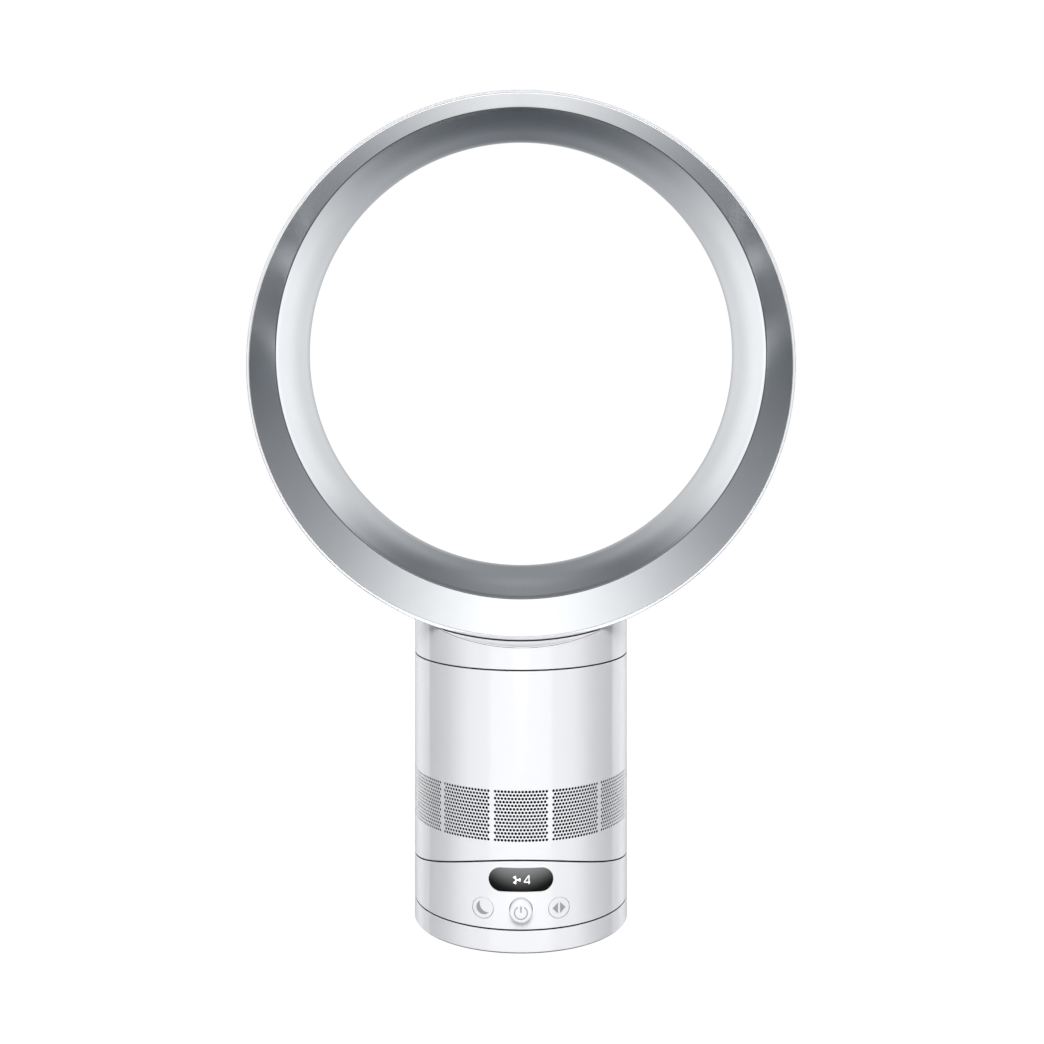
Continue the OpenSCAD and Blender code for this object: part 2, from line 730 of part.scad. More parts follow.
// Buttons: each slides in its sleeve and is kept in by its flange
module button_back(r) {
    bar(r + button_gap + button_flange[1], flange_back, flange_front);
    bar(button_stem[0], stem_end, flange_back + fit);
}
module side_button() {
    intersection() {
        bar(side_d / 2, flange_back, body_r);
        translate([-side_x, 0, -side_z]) rod(body_r, 0, body_top);
    }
    button_back(side_d / 2);
}
module power_button() color(gloss_white) translate([0, 0, power_z]) {
    translate([0, -flange_back, 0]) rotate([90, 0, 0]) rotate_extrude()
        polygon(concat([[0, 0], [power_d / 2, 0]],
            arc([power_d / 2 - power_round, body_r + power_out - flange_back - power_round],
                power_round, 0, 90, 6),
            [[0, body_r + power_out - flange_back]]));
    button_back(power_d / 2);
}
module timer_button() color(gloss_white) translate([-side_x, 0, side_z]) mirror([1, 0, 0]) side_button();
module swivel_button() color(gloss_white) translate([side_x, 0, side_z]) side_button();

// Upper body: tilts on the cradle and holds the air unit
module main_casing() color(gloss_white) difference() {
    union() {
        intersection() {
            tube(bore_r, body_r, tilt_z - tilt_r, body_top);
            tilt_drum(tilt_face);
        }
        at_columns() difference() {
            union() {
                rod(boss_r, shoe_boss_top, shoe_boss_top + column_h);
                translate([0, -wall / 2, shoe_boss_top]) cube([column_inset + fit, wall, column_h]);
            }
            screw_hole(shoe_seat);
        }
        at_hangers() difference() {
            intersection() {
                rod(boss_r, boss_top - screw_l, boss_top);
                translate([-hang_ring, 0, 0]) rod(body_r - fit, boss_top - screw_l, boss_top);
            }
            rod(screw_r + fit, boss_top - screw_l - past, boss_top + past);
        }
    }
    for (panel = [0:panel_count - 1], row = [0:grille_rows - 1]) {
        span = 360 / panel_count - panel_strip;
        cols = grille_cols - row % 2;
        for (col = [0:cols - 1])
            rotate(panel * 360 / panel_count + (col - (cols - 1) / 2) * span / grille_cols)
                translate([0, 0, grille_low + row * row_step])
                    bar(hole_d / 2, bore_r - past, body_r + past);
    }
}
module tilt_shoe() color(dark_plastic) difference() {
    union() {
        intersection() {
            union() {
                tilt_sector(shoe_in, tilt_face, plate_half, 0, far);
                intersection() {
                    union() {
                        at_columns() rod(boss_r, shoe_head_low - 2, shoe_boss_top - fit);
                        for (sx = [-1, 1], sy = [-1, 1])
                            translate([sx * standoff_xy, sy * standoff_xy, 0])
                                rod(boss_r / 2, tilt_z - tilt_face, driver_low);
                    }
                    tilt_drum(tilt_face);
                }
            }
            rod(bore_r - fit, control_low, tilt_z);
        }
        for (side = [-rail_x, rail_x])
            tilt_sector(tilt_face - shoe_t / 2, rail_end, rail_half, side, rail_w);
    }
    at_columns() {
        rod(head_r + 2 * fit, control_low, shoe_seat);
        screw_hole(shoe_seat);
    }
    for (side = [-rail_x, rail_x], a = [-keeper_screw_angle, keeper_screw_angle])
        tilt_at(a) translate([side, 0, 0])
            rod(screw_r + fit, tilt_z - keeper_end, tilt_z - shoe_in - 1);
}
module shoe_screws() color(steel) at_columns() screw(shoe_seat);
module rail_keepers() color(steel) difference() {
    for (side = [-rail_x, rail_x])
        tilt_sector(rail_end + fit, keeper_end, rail_half, side, rail_w + 2 * keeper_lip);
    for (side = [-rail_x, rail_x], a = [-keeper_screw_angle, keeper_screw_angle])
        tilt_at(a) translate([side, 0, 0])
            rod(screw_r + fit, tilt_z - keeper_end - past, tilt_z - rail_end);
}
module keeper_screws() color(steel)
    for (side = [-rail_x, rail_x], a = [-keeper_screw_angle, keeper_screw_angle])
        tilt_at(a) translate([side, 0, 0])
            screw(tilt_z - keeper_end - fit, true, keeper_end - shoe_in - 2, head_h * 0.8);
module silencer_foam() color(dark_plastic) intersection() {
    tube(foam_hole_r, foam_r, control_low, foam_top);
    tilt_drum(foam_low_r);
}
module driver_board() color(board_green) {
    rod(driver_r, driver_low, driver_low + board_t);
    for (a = [0:120:240]) rotate(a) translate([driver_r / 2, 0, 0])
        rod(4, driver_low + board_t - fit, driver_low + board_t + 8);
}
module impeller_shroud() color(grey_plastic) difference() {
    rotate_extrude() polygon([
        [mouth_r + lip_h, mouth_z - lip_h], [mouth_r + lip_h * 0.3, mouth_z - lip_h * 0.6],
        [mouth_r, mouth_z], [shroud_r, cone_top], [shroud_r, socket_low],
        [bore_r - 2 * fit, socket_low], [bore_r - 2 * fit, flange_low],
        [shroud_r + shroud_wall, flange_low], [shroud_r + shroud_wall, cone_top - 0.5],
        [mouth_r + shroud_wall, mouth_z - 0.5],
        [mouth_r + shroud_wall + lip_h * 0.2, mouth_z - lip_h * 0.4],
        [mouth_r + lip_h + shroud_wall, mouth_z - lip_h + 1]]);
    at_hangers() rod(screw_r + 2 * fit, flange_low - past, socket_low + past);
}
module motor_housing() color(grey_plastic) {
    rotate_extrude() polygon([
        [bearing[0] + fit, housing_low], [housing_r, housing_low], [housing_r, housing_top],
        [housing_r - housing_wall, housing_top], [housing_r - housing_wall, housing_low + 2],
        [stator_r + 2, housing_low + 2], [stator_r + 2, cap_low], [stator_r + fit, cap_low],
        [stator_r + fit, stator_low], [stator_r - 3, stator_low], [stator_r - 3, housing_low + 2],
        [bearing[0] + 2.5, housing_low + 2], [bearing[0] + 2.5, bearing_low + bearing[1]],
        [bearing[0] + fit, bearing_low + bearing[1]]]);
    intersection() {
        for (i = [0:vane_count - 1]) rotate(i * 360 / vane_count)
            translate([housing_r - housing_wall / 2, -blade_t / 2, vane_low])
                cube([shroud_r, blade_t, vane_h]);
        rod(vane_out_r, vane_low, vane_low + vane_h);
    }
}
module motor_stator() color(steel) {
    tube(stator_bore_r, stator_r, stator_low, stator_low + stator_h);
    for (i = [0:5]) rotate(60 * i) translate([(stator_r + stator_bore_r) / 2, 0, 0])
        rod(stator_bore_r / 3, stator_low + stator_h - fit, stator_low + stator_h + 2);
}
module motor_cap() color(grey_plastic) {
    tube(bearing[0] + fit, stator_r + 2, cap_low, cap_low + cap_t);
    tube(bearing[0] + fit, bearing[0] + 2.5, cap_low, bearing_high + bearing[1]);
}
module motor_bearings() color(steel)
    for (z = [bearing_low, bearing_high])
        tube(shaft_r + bearing_gap, bearing[0], z, z + bearing[1]);
module tail_cone() color(grey_plastic) rotate_extrude() polygon([
    [housing_r - 2 * housing_wall, housing_top], [housing_r, housing_top],
    [tail_r, housing_top + tail_h], [0, housing_top + tail_h],
    [0, housing_top + tail_h - 2], [tail_r - 2, housing_top + tail_h - 2]]);
module mount_grommets() color(rubber_black) at_hangers() intersection() {
    tube(screw_r + 2 * fit, boss_r, boss_top, flange_low);
    translate([-hang_ring, 0, 0]) rod(bore_r - fit, boss_top, flange_low);
}
module mount_screws() color(steel)
    at_hangers() screw(socket_low + 2, false, screw_l + flange_t);
module duct_seal() color(rubber_black)
    tube(seal_in_r, socket_bore_r - fit, socket_low, skirt_low - running);
module ring_sector(r_in, r_out, z0, z1, a0, a1) {
    rotate(a0) rotate_extrude(angle = a1 - a0)
        translate([r_in, z0]) square([r_out - r_in, z1 - z0]);
}
module loop_socket() color(dark_plastic) difference() {
    tube(socket_bore_r, socket_r, socket_low, socket_low + socket_h);
    at_hangers() {
        rod(head_r + 2 * fit, socket_low + 2, socket_low + socket_h + past);
        rod(screw_r + fit, socket_low - past, socket_low + 2 + past);
    }
    for (i = [0:2]) rotate(hang_angle + 60 + 120 * i) {
        ring_sector(socket_bore_r - past, lug_r + running, lug_low - running, lug_low + lug_h + running,
            -lug_angle / 2 - 1, twist_range);
        ring_sector(socket_bore_r - 2 * past, lug_r + 2 * running, lug_low - 2 * running, body_top,
            twist_range - lug_angle / 2 - 1, twist_range + lug_angle / 2 + 1);
    }
}

// Impeller: spins on the motor's shaft
function tip_r(z) = mouth_r + (z - mouth_z) * (shroud_r - mouth_r) / cone_h
    - tip_gap / cos(atan((shroud_r - mouth_r) / cone_h));
module impeller() color(grey_plastic) {
    rotate_extrude() polygon([
        [shaft_r + fit / 2, hub_low], [hub_in_r / 2, hub_low], [hub_in_r, hub_low + 3],
        [hub_out_r, cone_top], [hub_out_r - 3, cone_top], [hub_in_r - 2, hub_low + 6],
        [hub_in_r / 2, hub_low + 6], [hub_in_r / 2, cone_top - 4], [shaft_r + fit / 2, cone_top - 4]]);
    for (i = [0:blade_count - 1]) rotate(i * 360 / blade_count) intersection() {
        rotate_extrude() polygon([
            [hub_in_r - 1, hub_low + 3.5], [tip_r(hub_low + 3.5), hub_low + 3.5],
            [tip_r(cone_top - 0.5), cone_top - 0.5], [hub_out_r - 1.5, cone_top - 0.5]]);
        translate([hub_out_r - 2, 0, 0])
            tube(blade_arc_r - blade_t / 2, blade_arc_r + blade_t / 2, hub_low, cone_top);
        translate([0, 0, hub_low]) cube([2 * shroud_r, shroud_r, cone_h]);
    }
}
module rotor_shaft() color(steel) rod(shaft_r, shaft_low, shaft_high);
module rotor_magnet() color(dark_plastic)
    tube(shaft_r + fit / 2, magnet_r, stator_low, stator_low + stator_h);

// Loop: locks into the body with its collar
module at_collar_screws() {
    for (sx = [-1, 1], sy = [-1, 1])
        translate([sx * collar_screw[0], sy * collar_screw[1], 0]) children();
}
module loop_collar() color(gloss_white) difference() {
    union() {
        difference() {
            rod(body_r, collar_low, loop_z);
            on_loop_axis() cylinder(r = saddle_r, h = far, center = true);
            difference() {
                rod(bore_r, collar_low + wall, loop_z);
                on_loop_axis() cylinder(r = saddle_in_r, h = far, center = true);
            }
        }
        difference() {
            at_collar_screws() rod(boss_r, collar_seat, collar_seat + screw_l);
            on_loop_axis() cylinder(r = saddle_r, h = far, center = true);
        }
        rod(skirt_r, skirt_low, collar_low + fit);
        for (i = [0:2]) rotate(hang_angle + 60 + 120 * i)
            ring_sector(skirt_in_r + past, lug_r, lug_low, lug_low + lug_h,
                -lug_angle / 2, lug_angle / 2);
    }
    rod(skirt_in_r, skirt_low - past, collar_low + wall + past);
    translate([-port_w / 2, -port_d / 2, collar_low]) cube([port_w, port_d, loop_r]);
    at_collar_screws() screw_hole(collar_seat);
}
module collar_screws() color(steel) at_collar_screws() screw(collar_seat);
module loop_shell() color(gloss_white) difference() {
    union() {
        difference() {
            on_loop_axis() rotate_extrude() polygon(concat(
                arc([loop_r - lip_round, front + lip_round], lip_round, -90, 0, 6),
                arc([loop_r - rear_round, rear - rear_round], rear_round, 0, 90, 8),
                [[loop_r - 3 * curl_out, rear], [loop_r - 3 * curl_out, rear - wall]],
                arc([loop_r - rear_round, rear - rear_round], rear_round - wall, 90, 0, 8),
                [[loop_r - wall, front + lip_round]]));
            on_bore_axis() cylinder(r = coanda_c[0], h = far, center = true);
        }
        on_bore_axis() rotate_extrude() polygon(concat(
            [[coanda_c[0] + past, rear - wall], [coanda_c[0] + past, rear]],
            arc(coanda_c, curl_out, 90, lip_ends[0], 8), arc(coanda_c, curl_in, lip_ends[0], 90, 8)));
        intersection() {
            at_collar_screws() rod(boss_r, collar_seat, loop_boss_top);
            on_loop_axis() cylinder(r = loop_r - wall / 2, h = far, center = true);
        }
    }
    translate([-port_w / 2, -port_d / 2, collar_low])
        cube([port_w, port_d, loop_z - loop_r + loop_t / 2 - collar_low]);
    at_collar_screws() screw_hole(collar_seat, true, screw_l);
}
module front_bezel() color(satin_silver) difference() {
    hull() {
        on_loop_axis() translate([0, 0, front + 3 * fit]) cylinder(r = bezel_out_r, h = wall);
        on_bore_axis() translate([0, 0, bezel_back - fit])
            cylinder(r = duct_front_r + bezel_wall, h = fit);
    }
    hull() {
        on_loop_axis() translate([0, 0, front]) cylinder(r = bezel_out_r - 2 * fit, h = fit);
        on_bore_axis() translate([0, 0, bezel_back]) cylinder(r = duct_front_r, h = fit);
    }
}
module inner_duct() color(satin_silver) on_bore_axis() {
    back_r = duct_front_r + duct_wall / cos(flare);
    rotate_extrude() polygon(concat(
        [[back_r, duct_front], [duct_front_r, duct_front]],
        arc(blend_c, blend_r, 180 + flare, 180, 4),
        arc(coanda_c, coanda_r, 180, lip_ends[1], 12),
        arc(coanda_c, coanda_r - duct_wall, lip_ends[1], 180, 12),
        arc(blend_c, blend_r - duct_wall, 180, 180 + flare, 4)));
    for (i = [0:spacer_count - 1]) rotate(i * 360 / spacer_count)
        rotate_extrude(angle = 1) polygon(concat(
            arc(coanda_c, coanda_r - duct_wall / 2, lip_ends[0] - 5, lip_ends[1] + 5, 3),
            arc(coanda_c, curl_in - fit, lip_ends[1] + 5, lip_ends[0] - 5, 3)));
}

foot_shell();
foot_plate();
foot_pad();
foot_screws();
power_jack();
glide_ring();
swivel_gear();
gear_screw();
control_casing();
control_floor();
floor_screws();
swivel_bush();
swivel_motor();
motor_screws();
tilt_cradle();
cradle_screws();
display_lens();
display_module();
control_board();
tact_switches();
drive_pinion();
power_button();
timer_button();
swivel_button();
main_casing();
tilt_shoe();
shoe_screws();
rail_keepers();
keeper_screws();
silencer_foam();
driver_board();
impeller_shroud();
motor_housing();
motor_stator();
motor_cap();
motor_bearings();
tail_cone();
mount_grommets();
mount_screws();
duct_seal();
loop_socket();
impeller();
rotor_shaft();
rotor_magnet();
loop_collar();
collar_screws();
loop_shell();
front_bezel();
inner_duct();
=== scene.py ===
# Bladeless desk fan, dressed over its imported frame. Metres, +Z up, front at -Y. The shapes are
# worked out in millimetres and turned into metres where each mesh is made.
import math

import bmesh
import bpy
import numpy as np
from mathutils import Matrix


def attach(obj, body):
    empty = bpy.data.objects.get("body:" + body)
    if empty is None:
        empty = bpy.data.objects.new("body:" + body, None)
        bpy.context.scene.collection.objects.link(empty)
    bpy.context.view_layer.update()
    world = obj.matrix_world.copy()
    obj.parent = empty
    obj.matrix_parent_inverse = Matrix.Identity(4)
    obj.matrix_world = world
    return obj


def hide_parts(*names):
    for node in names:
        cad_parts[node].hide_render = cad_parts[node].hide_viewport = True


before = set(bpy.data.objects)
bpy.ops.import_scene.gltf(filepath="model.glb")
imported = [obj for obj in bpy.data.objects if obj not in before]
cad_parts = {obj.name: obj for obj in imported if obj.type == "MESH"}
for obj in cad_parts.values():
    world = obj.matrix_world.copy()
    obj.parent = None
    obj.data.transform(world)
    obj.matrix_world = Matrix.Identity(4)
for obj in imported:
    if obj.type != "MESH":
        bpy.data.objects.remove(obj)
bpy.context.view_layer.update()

# Foot: an injection moulded gloss white dish that stands on the table. Its deck carries the post
# that the body turns on, and its wall has a round way in for the plug at the back.
BODY_R, BORE_R = 72.0, 69.6
EDGE_ROUND, NEAR = 0.2, 0.02
FOOT_LOW, FOOT_TOP, FOOT_BORE_R, DECK_LOW = 1.0, 14.7, 69.5, 12.5
POST_R, POST_TOP, KEY_R, KEY_TOP, SCREW_HOLE_R = 12.0, 21.1, 8.0, 26.0, 1.55
JACK_Z, JACK_HOLE_R = 7.85, 4.2


def grid(points, wrap=False):
    """Four-sided faces over points of shape (rows, columns, 3): each face joins two neighbours of
    one row to the two beside them in the next. wrap joins the last row to the first."""
    rows, columns = points.shape[:2]
    number = np.arange(rows * columns).reshape(rows, columns)
    if wrap:
        number = np.vstack([number, number[:1]])
    faces = [number[:-1, :-1], number[1:, :-1], number[1:, 1:], number[:-1, 1:]]
    return points.reshape(-1, 3), np.stack(faces, axis=-1).reshape(-1, 4)


def true_round(mesh, radii):
    """Gives each corner of a face that lies on an upright cylinder of one of the radii the
    cylinder's own direction there, which is the point's (x, y) divided by its length."""
    count = len(mesh.loops)
    vertex, normal = np.empty(count, int), np.empty(count * 3)
    mesh.loops.foreach_get("vertex_index", vertex)
    mesh.corner_normals.foreach_get("vector", normal)
    sides, flat = np.empty(len(mesh.polygons), int), np.empty(len(mesh.polygons) * 3)
    mesh.polygons.foreach_get("loop_total", sides)
    mesh.polygons.foreach_get("normal", flat)
    point = np.empty(len(mesh.vertices) * 3)
    mesh.vertices.foreach_get("co", point)
    normal, flat = normal.reshape(-1, 3), np.repeat(flat.reshape(-1, 3), sides, axis=0)
    out = point.reshape(-1, 3)[vertex] * (1, 1, 0)
    length = np.linalg.norm(out, axis=1)
    out /= np.maximum(length, 1e-9)[:, None]
    facing = (out * flat).sum(axis=1)
    for radius in radii:
        on_wall = (abs(length - radius / 1000) < 3e-5) & (abs(facing) > 0.97)
        normal[on_wall] = out[on_wall] * np.sign(facing[on_wall])[:, None]
    mesh.normals_split_custom_set(normal)


def made(name, patches, paint, body, stands_for=(), crease=32, wall_radii=(), shade_faces=None):
    """One closed mesh from patches of points and faces: points that meet become one, faces turn
    outwards, and an edge stays sharp where its faces differ by more than crease degrees. The last
    argument is a second, near black paint for painted shade, and a rule that picks its faces by their centres
    in millimetres."""
    start = np.cumsum([0] + [len(points) for points, _ in patches[:-1]])
    points = np.concatenate([points for points, _ in patches]) / 1000
    faces = np.concatenate([faces + first for (_, faces), first in zip(patches, start)])
    used, faces = np.unique(faces, return_inverse=True)
    mesh = bpy.data.meshes.new(name)
    mesh.from_pydata(points[used].tolist(), [], faces.reshape(-1, 4).tolist())
    shell = bmesh.new()
    shell.from_mesh(mesh)
    bmesh.ops.remove_doubles(shell, verts=shell.verts, dist=4e-6)
    bmesh.ops.recalc_face_normals(shell, faces=shell.faces)
    shell.to_mesh(mesh)
    shell.free()
    mesh.shade_smooth()
    mesh.set_sharp_from_angle(angle=math.radians(crease))
    if wall_radii:
        true_round(mesh, wall_radii)
    piece = bpy.data.objects.new(name, mesh)
    bpy.context.scene.collection.objects.link(piece)
    if not wall_radii:
        even = piece.modifiers.new("even", "WEIGHTED_NORMAL")
        even.keep_sharp = True
    mesh.materials.append(paint.material)
    if shade_faces:
        mesh.materials.append(shade_faces[0].material)
        centres = np.empty(len(mesh.polygons) * 3)
        mesh.polygons.foreach_get("center", centres)
        mesh.polygons.foreach_set("material_index", shade_faces[1](centres.reshape(-1, 3) * 1000).astype(np.int32))
    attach(piece, body)
    if stands_for:
        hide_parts(*stands_for)
    return piece


class RoundWall:
    """A round wall with openings on one side: there its uprights stand straight behind each
    other at the given x, and round the rest of the circle they are spread evenly."""

    def __init__(self, x, side, rest):
        self.x, self.side, self.rest = np.asarray(x), side, rest

    def near(self, x, radius):
        return np.column_stack([x, self.side * np.sqrt(radius**2 - x**2)])

    def plan(self, radius):
        if radius < 1.3 * self.x[-1]:
            return self.plan(BODY_R) * radius / BODY_R
        edge = math.asin(self.x[-1] / radius)
        angle = np.linspace(edge, 2 * np.pi - edge, self.rest + 1)[1:-1]
        far = radius * np.column_stack([np.sin(angle), self.side * np.cos(angle)])
        return np.concatenate([self.near(self.x, radius), far])

    def cell(self, x, radius, low, high, up, opening, rings=5):
        """The wall between an opening and the box round it. The opening is a circle, or a stadium
        of half length reach: each of its points lies on the straight line from its middle bar to
        the box's point in step, and rings of points share out that line."""
        (middle_x, middle_z), reach, hole_r = opening
        plan = self.near(x, radius)
        lower, upper = np.column_stack([x, low(plan)]), np.column_stack([x, high(plan)])
        share = np.linspace(0, 1, up + 1)[:, None]
        right = lower[-1] * (1 - share) + upper[-1] * share
        left = lower[0] * (1 - share) + upper[0] * share
        box = np.concatenate([lower[:-1], right[:-1], upper[:0:-1], left[:0:-1]])
        bar = np.clip(box[:, 0], middle_x - reach, middle_x + reach)
        bar = np.column_stack([bar, np.full(len(box), middle_z)])
        way = box - bar
        rim = bar + way / np.linalg.norm(way, axis=1)[:, None] * hole_r
        share = np.linspace(0, 1, rings + 1)[None, :, None]
        flat = rim[:, None] * (1 - share) + box[:, None] * share
        return grid(self.bent(flat, radius), wrap=True), rim

    def bent(self, flat, radius):
        """Puts (x, z) points on the cylinder: y is plus or minus the root of radius² - x²."""
        x, z = flat[..., 0], flat[..., 1]
        return np.stack([x, self.side * np.sqrt(radius**2 - x**2), z], axis=-1)

    def plain(self, radius, heights, steps):
        """The even part of the wall, in steps from each height to the next."""
        plan = self.plan(radius)
        plan = np.vstack([plan[len(self.x) - 1:], plan[:1]])
        levels = [height(plan) for height in heights]
        rows = [levels[0]]
        for below, above, count in zip(levels, levels[1:], steps):
            rows += [below + (above - below) * (step + 1) / count for step in range(count)]
        return grid(np.stack([np.column_stack([plan, row]) for row in rows], axis=1))

    def rings(self, profile):
        """A band over rings of (radius or plan, height, lift): z is the height of the plan point
        plus the lift."""
        rows = []
        for radius, height, lift in profile:
            plan = self.plan(radius) if np.isscalar(radius) else radius
            rows.append(np.column_stack([plan, height(plan) + lift]))
        return grid(np.stack(rows, axis=1), wrap=True)


def level(height):
    return lambda plan: np.full(len(plan), float(height))


def top_edge(radius, height, corner=EDGE_ROUND, steps=4, up=1):
    """Rings of a rounded outer edge, from the wall to the edge's flat: the radius shrinks by the
    corner times 1 - cos and the height by the corner times 1 - sin. up = -1 is for a lower edge."""
    turn = np.linspace(0, np.pi / 2, steps + 1)
    return [(radius - corner * (1 - math.cos(a)), height, -up * corner * (1 - math.sin(a))) for a in turn]


class Level:
    """A number that changes over a surface. Arithmetic on it adds Math nodes to its tree."""

    def __init__(self, nodes, socket):
        self.nodes, self.socket = nodes, socket

    def maths(self, operation, *values):
        return self.nodes.node("Math", {"operation": operation}, *values)

    def __add__(self, other):
        return self.maths("ADD", self, other)

    def __sub__(self, other):
        return self.maths("SUBTRACT", self, other)

    def __rsub__(self, other):
        return self.maths("SUBTRACT", other, self)

    def __mul__(self, other):
        return self.maths("MULTIPLY", self, other)

    def __truediv__(self, other):
        return self.maths("DIVIDE", self, other)

    def __pow__(self, other):
        return self.maths("POWER", self, other)

    def __lt__(self, other):
        return self.maths("LESS_THAN", self, other)

    def __abs__(self):
        return self.maths("ABSOLUTE", self)

    __radd__, __rmul__ = __add__, __mul__


class Nodes:
    """A node tree that takes a node's type, its settings and the values or links of its sockets."""

    def __init__(self, tree):
        self.tree = tree

    def node(self, kind, settings=(), *values, out=0, **named):
        added = self.tree.nodes.new("ShaderNode" + kind)
        for key, value in dict(settings).items():
            setattr(added, key, value)
        for key, value in [*enumerate(values), *named.items()]:
            socket = added.inputs[key.replace("_", " ") if isinstance(key, str) else key]
            if isinstance(value, Level):
                self.tree.links.new(value.socket, socket)
            elif value is not None:
                socket.default_value = value
        return Level(self, added.outputs[out])

    def between(self, value, low, high):
        """0 where value is low and 1 where it is high, with a soft start and end."""
        return self.node("MapRange", {"interpolation_type": "SMOOTHSTEP"}, value, low, high, 0.0, 1.0)

    def blend(self, share, first, second):
        """The first colour where share is 0, and the second where it is 1."""
        mix = self.tree.nodes.new("ShaderNodeMix")
        mix.data_type = "RGBA"
        for key, value in {0: share, 6: first, 7: second}.items():
            if isinstance(value, Level):
                self.tree.links.new(value.socket, mix.inputs[key])
            else:
                mix.inputs[key].default_value = value
        return Level(self, mix.outputs[2])


class Paint(Nodes):
    """A Principled material: what is the same all over goes straight on the shader's sockets, and
    what changes over the surface comes from nodes on Object coordinates."""

    def __init__(self, name, colour, roughness, **constants):
        self.material = bpy.data.materials.new(name)
        self.material.use_nodes = True
        super().__init__(self.material.node_tree)
        self.shader = self.tree.nodes["Principled BSDF"]
        self.colour = colour
        self.shader.inputs["Base Color"].default_value = (*colour, 1)
        self.shader.inputs["Roughness"].default_value = roughness
        for socket, value in constants.items():
            self.shader.inputs[socket.replace("_", " ")].default_value = value
        self.place = self.node("TexCoord", out="Object")

    def feed(self, socket, value):
        self.tree.links.new(value.socket, self.shader.inputs[socket])

    def noise(self, scale, detail=2.0, stretch=(1, 1, 1)):
        """Noise from 0 to 1 with features about 1 / scale of a metre across."""
        where = self.node("Mapping", {}, self.place, Scale=stretch)
        return self.node("TexNoise", {}, Vector=where, Scale=scale, Detail=detail)

    def shaded(self, share, low, high):
        """The base colour times a factor that goes from low to high as share goes from 0 to 1."""
        colours = [tuple(min(c * factor, 1) for c in self.colour) + (1,) for factor in (low, high)]
        colour = self.blend(share, *colours)
        self.feed("Base Color", colour)
        return colour

    def relief(self, height, depth):
        """Bumps of up to depth millimetres where height is 1."""
        self.feed("Normal", self.node("Bump", {}, Strength=1.0, Distance=depth / 1000, Height=height))


def dressed(paint, *names):
    """Gives CAD nodes that stay a material of their own."""
    for name in names:
        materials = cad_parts[name].data.materials
        materials.clear()
        materials.append(paint.material)


def gloss_white(name):
    """Polished white moulding: a clear bright skin over a faintly uneven surface."""
    paint = Paint(name, (0.865, 0.87, 0.9), 0.16, Coat_Weight=0.5, Coat_Roughness=0.03, Coat_IOR=1.6)
    paint.white = paint.shaded(paint.noise(35, 3), 0.985, 1.01)
    paint.feed("Roughness", paint.noise(900, 2) * 0.06 + 0.12)
    paint.relief(paint.noise(220, 2), 0.002)
    return paint


def inside_skin(centres, depth=0.3):
    """True behind the outer skin: where the distance from the upright axis is smaller than the
    body's radius less that depth."""
    return np.hypot(centres[:, 0], centres[:, 1]) < BODY_R - depth


casing_paint = gloss_white("gloss_white_moulding")
# Painted shade: a near black paint for end faces, insides, seam gaps and channels, where only shade falls.
painted_shade_paint = Paint("painted_shade_black", (0.01, 0.01, 0.011), 0.6, Specular_IOR_Level=0.1)
painted_shade_paint.shaded(painted_shade_paint.noise(300, 2), 0.8, 1.2)
painted_shade_paint.relief(painted_shade_paint.noise(1800, 2), 0.01)
jack_half = 9.0
foot_wall = RoundWall(np.linspace(-jack_half, jack_half, 19), 1, 200)
foot_patches, jack_rims = [], []
foot_skins = ((BODY_R, FOOT_LOW + EDGE_ROUND, FOOT_TOP - EDGE_ROUND), (FOOT_BORE_R, FOOT_LOW, DECK_LOW))
for radius, low, high in foot_skins:
    heights = level(low), level(high)
    patch, rim = foot_wall.cell(foot_wall.x, radius, *heights, 12, ((0, JACK_Z), 0, JACK_HOLE_R))
    foot_patches += [patch, foot_wall.plain(radius, heights, [12])]
    jack_rims.append(foot_wall.bent(rim, radius))
foot_patches += [
    grid(np.stack(jack_rims, axis=1), wrap=True),
    foot_wall.rings([*top_edge(BODY_R, level(FOOT_TOP)), *[(radius, level(height), 0) for radius, height in (
        (POST_R, FOOT_TOP), (POST_R, POST_TOP), (KEY_R, POST_TOP), (KEY_R, KEY_TOP),
        (SCREW_HOLE_R, KEY_TOP), (SCREW_HOLE_R, DECK_LOW), (FOOT_BORE_R, DECK_LOW))]]),
    foot_wall.rings([*top_edge(BODY_R, level(FOOT_LOW), up=-1), (FOOT_BORE_R, level(FOOT_LOW), 0)]),
]
# Everything inside the outer skin, the end faces in the seams included, gets the near black painted shade.
made("foot_moulding", foot_patches, casing_paint, "foot", ["foot_shell"],
     wall_radii=(BODY_R, FOOT_BORE_R), shade_faces=(painted_shade_paint, inside_skin))

# Under the deck: a steel ballast plate with its screws, a rubber pad ring that stands on the
# table, the power socket, and on the deck the slide ring, the fixed gear and its screw.
steel_paint = Paint("machined_steel", (0.6, 0.61, 0.63), 0.35, Metallic=1.0)
steel_paint.feed("Roughness", steel_paint.noise(400, 3, (1, 1, 12)) * 0.25 + 0.25)
steel_paint.relief(steel_paint.noise(900, 2, (1, 1, 8)), 0.01)
rubber_paint = Paint("black_rubber", (0.04, 0.04, 0.04), 0.75)
rubber_paint.shaded(rubber_paint.noise(300, 3), 0.8, 1.3)
rubber_paint.relief(rubber_paint.noise(1500, 2), 0.03)
black_paint = Paint("black_textured_plastic", (0.05, 0.05, 0.052), 0.5)
black_paint.shaded(black_paint.noise(250, 2), 0.85, 1.15)
black_paint.relief(black_paint.noise(2200, 2), 0.02)
slide_paint = Paint("slide_polymer", (0.85, 0.85, 0.83), 0.4)
slide_paint.shaded(slide_paint.noise(120, 2), 0.95, 1.0)
slide_paint.relief(slide_paint.noise(800, 2), 0.004)
gear_paint = Paint("gear_polymer", (0.75, 0.74, 0.7), 0.4)
gear_paint.shaded(gear_paint.noise(160, 3), 0.93, 1.02)
